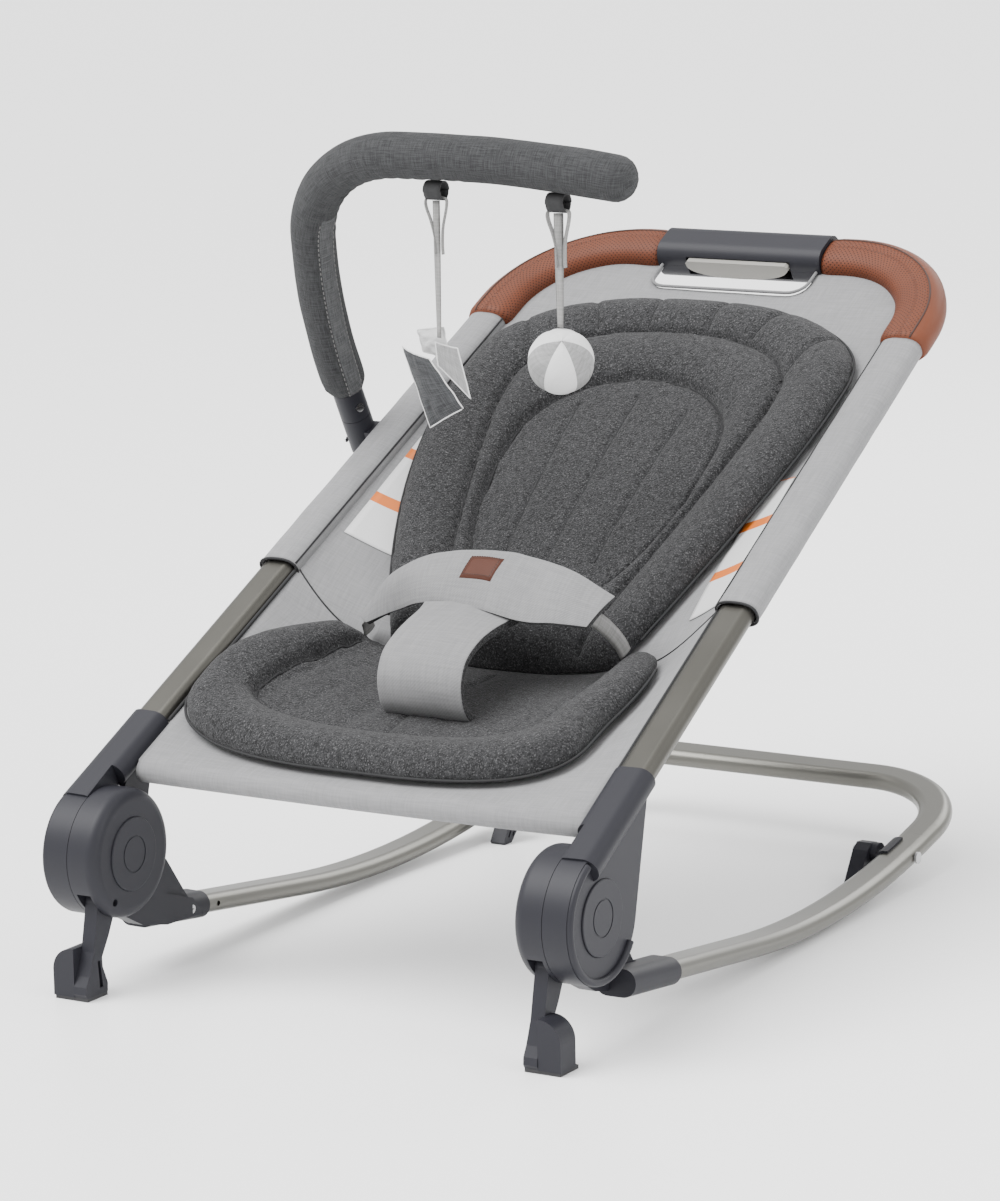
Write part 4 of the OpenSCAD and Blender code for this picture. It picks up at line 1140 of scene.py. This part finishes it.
def make_grip(side, name):
    """Sewn leather grip round a top corner: perforated, with a plain strip outside."""
    count = 48
    flat = corner_path(GRIP_S0, HANDLE_HALF + 0.6)
    points = [S(side * x, s, 0) for x, s in flat]
    normal = direction(0, 0, 1).normalized()
    total = run(points)
    w, t = TUBE_W + 2 * GRIP_FOAM, TUBE_T + 2 * GRIP_FOAM

    def profile(i, angle):
        d = min(total[i], total[-1] - total[i]) / MM
        tuck = 1 - 0.10 * math.exp(-d / 3.0)
        swell = 0.35 * noise.noise(Vector((total[i] * 30, angle * 1.5, 2.0 + side)))
        return oval((t + swell) * tuck, (w + swell) * tuck, angle)

    def pick(_, j):
        """The outer strip, between the two seams, is plain leather."""
        return int(GRIP_SEAMS[0] < side * ((360 * (j + 0.5) / count + 180) % 360 - 180) < GRIP_SEAMS[1])

    grip = sweep("grip_leather_" + name, points, profile, ["grip", "grip_edge"], "seat", normal, count,
                 pick=pick)
    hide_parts("grip_" + name)
    # sewn seams between the perforated and the plain leather, front and back
    for face, word in zip(GRIP_SEAMS, ("front", "rear")):
        line = along_face(points, normal, profile, math.radians(side * face), 1.004)
        thread_line("grip_seam_%s_%s" % (word, name), line, 0.8, "thread_dark")


for sign, word in ((-1, "left"), (1, "right")):
    make_grip(sign, word)


# ---------- toy bar ----------
LEAN_START, LEAN_R, LEAN_TURN = 60.0, 560.0, math.radians(15)
CROWN_R, ARM_RUN, DROOP_R, DROOP_TURN = 115.0, 30.0, 1080.0, math.radians(9.6)
STRIP, STRIP_END = (222, 268), 0.19     # degrees round the stem, and metres up it
TIP = 18.0                              # length of the rounded free end


def bar_path(y0, step=5.0):
    """Middle line of the toy bar, (x, n) from the post's foot, and its last heading."""
    points, x, y, h = [(0.0, y0)], 0.0, y0, math.pi / 2
    legs = [(LEAN_START - y0, 0), (LEAN_R, -LEAN_TURN), (CROWN_R, LEAN_TURN - math.pi / 2), (ARM_RUN, 0),
            (DROOP_R, -DROOP_TURN)]
    for size, turn in legs:
        length = size * abs(turn) if turn else size
        n = max(2, int(length / step))
        for _ in range(n):
            h += turn / n / 2
            x, y = x + length / n * math.cos(h), y + length / n * math.sin(h)
            h += turn / n / 2
            points.append((x, y))
    return points, h


def make_toy_bar():
    flat, heading = bar_path(47.0)
    x1, y1 = flat[-1]
    flat += [(x1 + d * math.cos(heading), y1 + d * math.sin(heading)) for d in (3.0, 5.5, 7.0, 7.8)]
    points = [S(x - POST_X, POST_S, n) for x, n in flat]
    total = run(points)
    forward = direction(0, 1, 0).normalized()
    count = 48
    end = total[-1]

    def profile(i, angle):
        d0, d1 = total[i] / MM, (end - total[i]) / MM
        r = FOAM_D / 2
        if d1 < TIP:
            r *= math.sqrt(max(1 - ((TIP - d1) / (TIP + 0.2)) ** 2.2, 0.02))
        r *= 1 - 0.25 * math.exp(-d0 / 4.0)
        gather = 0.35 * math.exp(-d0 / 12.0) * math.sin(angle * 13)
        gather += 0.3 * math.exp(-d1 / 16.0) * math.sin(angle * 11)
        swell = 0.55 * noise.noise(Vector((total[i] * 26, math.cos(angle) * 1.4, math.sin(angle) * 1.4)))
        bend = max(0.0, -math.sin(angle)) if 0.16 < total[i] < 0.38 else 0.0
        pucker = 0.5 * bend * math.sin(total[i] * 420)
        r += swell + gather + pucker
        return r * math.cos(angle), r * math.sin(angle)

    def pick(i, j):
        """A pale strip between two seams runs up the stem."""
        return int(total[i] < STRIP_END and STRIP[0] < 360 * (j + 0.5) / count < STRIP[1])

    pad = sweep("toy_bar_cover", points, profile, ["linen", "linen_pale"], "toy_arm", forward, count,
                pick=pick)
    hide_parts("toy_arm_pad")
    for face in STRIP:
        line = along_face(points, forward, profile, math.radians(face), 1.006)
        line = [p for p, d in zip(line, total) if d <= STRIP_END]
        stitches("toy_bar_seam_%d" % face, line, 0.5, 3.0, 2.0, "thread", "toy_arm")


make_toy_bar()


# ---------- toys ----------
TOY_ALONG = (166.0, 279.0)
LOOP_R, LOOP_W = 8.0, 16.0
RIBBON_LEN = (112.0, 92.0)


def arm_height(x):
    """Height of the toy bar's arm over the post's foot, x millimetres from the post."""
    crown_x = LEAN_R * (1 - math.cos(LEAN_TURN)) + CROWN_R * math.cos(LEAN_TURN)
    crown_y = LEAN_START + LEAN_R * math.sin(LEAN_TURN) + CROWN_R * (1 - math.sin(LEAN_TURN))
    past = max(0.0, x - crown_x - ARM_RUN)
    return crown_y - past ** 2 / (2 * DROOP_R)


def loop_centre(i):
    """Middle of a toy's elastic loop, under the arm."""
    x = TOY_ALONG[i]
    return S(x - POST_X, POST_S, arm_height(x)) - Vector((0, 0, (FOAM_D / 2 + LOOP_R + 0.2) * MM))


def make_loops():
    """Elastic loops under the arm, flatter below than above."""
    for i, name in enumerate(("left", "right")):
        centre = loop_centre(i)
        rows = []
        for x in np.linspace(-LOOP_W / 2, LOOP_W / 2, 5):
            row = []
            for k in range(33):
                a = 2 * math.pi * k / 32
                r = (LOOP_R - 0.8) * (0.86 if math.sin(a) < 0 else 1.0)
                row.append(centre + Vector((x, r * math.cos(a), (LOOP_R - 0.6) * math.sin(a))) * MM)
            rows.append(row)
        loop = grid("toy_loop_" + name, rows, "loop", "toy_arm")
        modify(loop, "SOLIDIFY", thickness=LOOP_T * MM, offset=0.0)
        if i == 0:
            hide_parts("toy_loops")


def ribbon_path(i):
    """A ribbon's whole length, straight down from its loop."""
    top = loop_centre(i) - Vector((0, 0, (LOOP_R + 0.4) * MM))
    length = RIBBON_LEN[i] * MM
    return [top - Vector((0, 0, length * k / 16)) for k in range(17)]


def make_ribbon(i, name, width, toy_pieces):
    path = ribbon_path(i)
    across = Vector((0.9, 0.43, 0)).normalized()
    ribbon = flat_strip("toy_ribbon_strip_" + name, path, width, 1.3, "toy_" + name, across, 0.9)
    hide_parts("toy_ribbon_" + name)
    # the ribbon's end passes through the loop and is sewn back on itself
    bottom = 1.6 - LOOP_R
    bight = [(-1.0, -52), (-1.5, -40), (-5.0, -26), (-9.6, -14), (-9.8, -8), (-7.0, bottom + 0.6),
             (0, bottom + 1.2), (7.0, bottom + 0.8), (10.0, -8), (9.2, -16), (6.0, -30), (5.2, -44),
             (5.6, -52)]
    end = [loop_centre(i) + Vector((x, 0, z)) * MM for x, z in bight]
    tail = flat_strip("toy_ribbon_loop_" + name, curve(end, 5), width * 0.8, 1.1, "toy_" + name,
                      Vector((0, 1, 0.05)))
    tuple(path[0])


def leaf(name, foot, corners, fill, bow, mat, body, seed):
    """A stuffed four-cornered leaf round the foot of its ribbon: two crowned faces and a pale edge."""
    a, b, c, d = [foot + Vector(p) * MM for p in corners]
    n = 18
    front, back = [], []
    normal = (b - a).cross(d - a).normalized()
    for i in range(n + 1):
        v = i / n
        row_f, row_b = [], []
        for j in range(n + 1):
            u = j / n
            p = a.lerp(b, u).lerp(d.lerp(c, u), v)
            edge = min(u, 1 - u, v, 1 - v)
            fat = fill * (1 - math.exp(-edge * 9)) * MM
            bend = bow * (1 - (2 * u - 1) ** 2) * MM
            crease = 0.0012 * noise.noise(Vector((u * 5, v * 5, seed)))
            row_f.append(p + normal * (fat + bend + crease))
            row_b.append(p + normal * (-fat + bend + crease))
        front.append(row_f)
        back.append(row_b)
    verts = [q for row in front + back for q in row]
    m = n + 1
    uvs = [(j * 0.003, i * 0.004) for i in range(m) for j in range(m)] * 2
    piece = add_mesh(name, verts, two_faced(m, m), mat, body, uvs)
    rim = [verts[k] for k in border(m, m) + [0]]
    return [piece, thread_line(name + "_edge", rim, 0.6, "toy_white", body)]


def make_left_toy():
    """Three fabric leaves that meet at the ribbon."""
    foot = ribbon_path(0)[-1]
    dark = [(-32, -6, -8), (-4, -10, -16), (24, -4, -56), (-8, -4, -74)]
    pale = [(-26, 8, 4), (2, 4, 8), (6, 6, -20), (-22, 10, -14)]
    light = [(-4, 0, -4), (16, 2, -8), (30, -2, -48), (2, -6, -22)]
    pieces = leaf("toy_leaf_dark", foot, dark, 2.4, -3.0, "toy_grey", "toy_left", 1.0)
    pieces += leaf("toy_leaf_pale", foot, pale, 1.6, 2.0, "toy_white", "toy_left", 2.0)
    pieces += leaf("toy_leaf_light", foot, light, 1.8, 3.0, "toy_rib", "toy_left", 3.0)
    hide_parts("toy_left")
    return pieces


def make_right_toy():
    """Soft ball of six leaves, slightly faceted along its seams."""
    top = ribbon_path(1)[-1]
    centre = top - Vector((0, 0, (BALL_R + 0.5) * MM))
    rows = []
    lat, lon = 40, 72
    for i in range(lat + 1):
        a = math.pi * i / lat
        row = []
        for j in range(lon):
            b = 2 * math.pi * j / lon
            seam = abs(math.cos(3 * b + 0.4))
            r = BALL_R * (0.955 + 0.05 * seam ** 0.35) * (1 + 0.015 * noise.noise(Vector((i / 6, j / 9, 1))))
            x, y, z = math.sin(a) * math.cos(b), math.sin(a) * math.sin(b), 0.97 * math.cos(a)
            row.append(centre + Vector((x, y, z)) * r * MM)
        rows.append(row)

    def pick(_, j):
        return 1 if int((6 * math.pi * j / lon + 0.4 + math.pi / 2) / math.pi) % 6 in (0, 4) else 0

    ball = grid("toy_ball", rows, ["toy_white", "toy_rib"], "toy_right", closed=True, pick=pick)
    tilt = Matrix.Rotation(0.75, 4, Vector((0.84, 0.51, 0.1)))
    ball.data.transform(Matrix.Translation(centre) @ tilt @ Matrix.Translation(-centre))
    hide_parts("toy_right")
    return [ball]


make_loops()
make_ribbon(0, "left", 6.0, make_left_toy())
make_ribbon(1, "right", 8.0, make_right_toy())


# ---------- floor and light ----------
def add_floor():
    mesh = bpy.data.meshes.new("floor")
    r = 30.0
    mesh.from_pydata([(-r, -r, 0), (r, -r, 0), (r, r, 0), (-r, r, 0)], [], [(0, 1, 2, 3)])
    m = Nodes("floor")
    m.set(Base_Color=rgb(0.93, 0.93, 0.93), Roughness=0.35)
    m.gloss(0.25)
    mesh.materials.append(m.mat)
    new_object("floor", mesh)


def add_world():
    world = bpy.data.worlds.new("studio")
    bpy.context.scene.world = world
    world.use_nodes = True
    back = world.node_tree.nodes["Background"]
    back.inputs[0].default_value = rgb(1.0, 1.0, 1.0)
    back.inputs[1].default_value = 1.45


def add_lamp(name, kind, power, aim, place=(0, 0, 0), **settings):
    data = bpy.data.lights.new(name, kind)
    data.energy = power
    for key, value in settings.items():
        setattr(data, key, value)
    lamp = new_object(name, data)
    lamp.location = place
    lamp.rotation_euler = Vector(aim).to_track_quat("-Z", "Y").to_euler()


def add_panel(name, place, width, height, power):
    """A soft rectangular light, turned to the middle of the seat."""
    aim = Vector((0, 0, 0.3)) - Vector(place)
    add_lamp(name, "AREA", power, aim, place, shape="RECTANGLE", size=width, size_y=height)


add_floor()
add_world()
add_lamp("sun", "SUN", 5.4, (0.55, 0.62, -1.5), angle=0.9)
add_panel("key", (-1.6, -1.8, 2.6), 1.6, 1.6, 30)
add_panel("side", (2.4, -0.4, 1.6), 1.0, 2.0, 30)
add_panel("rim", (0.4, 2.6, 1.8), 2.2, 1.0, 34)
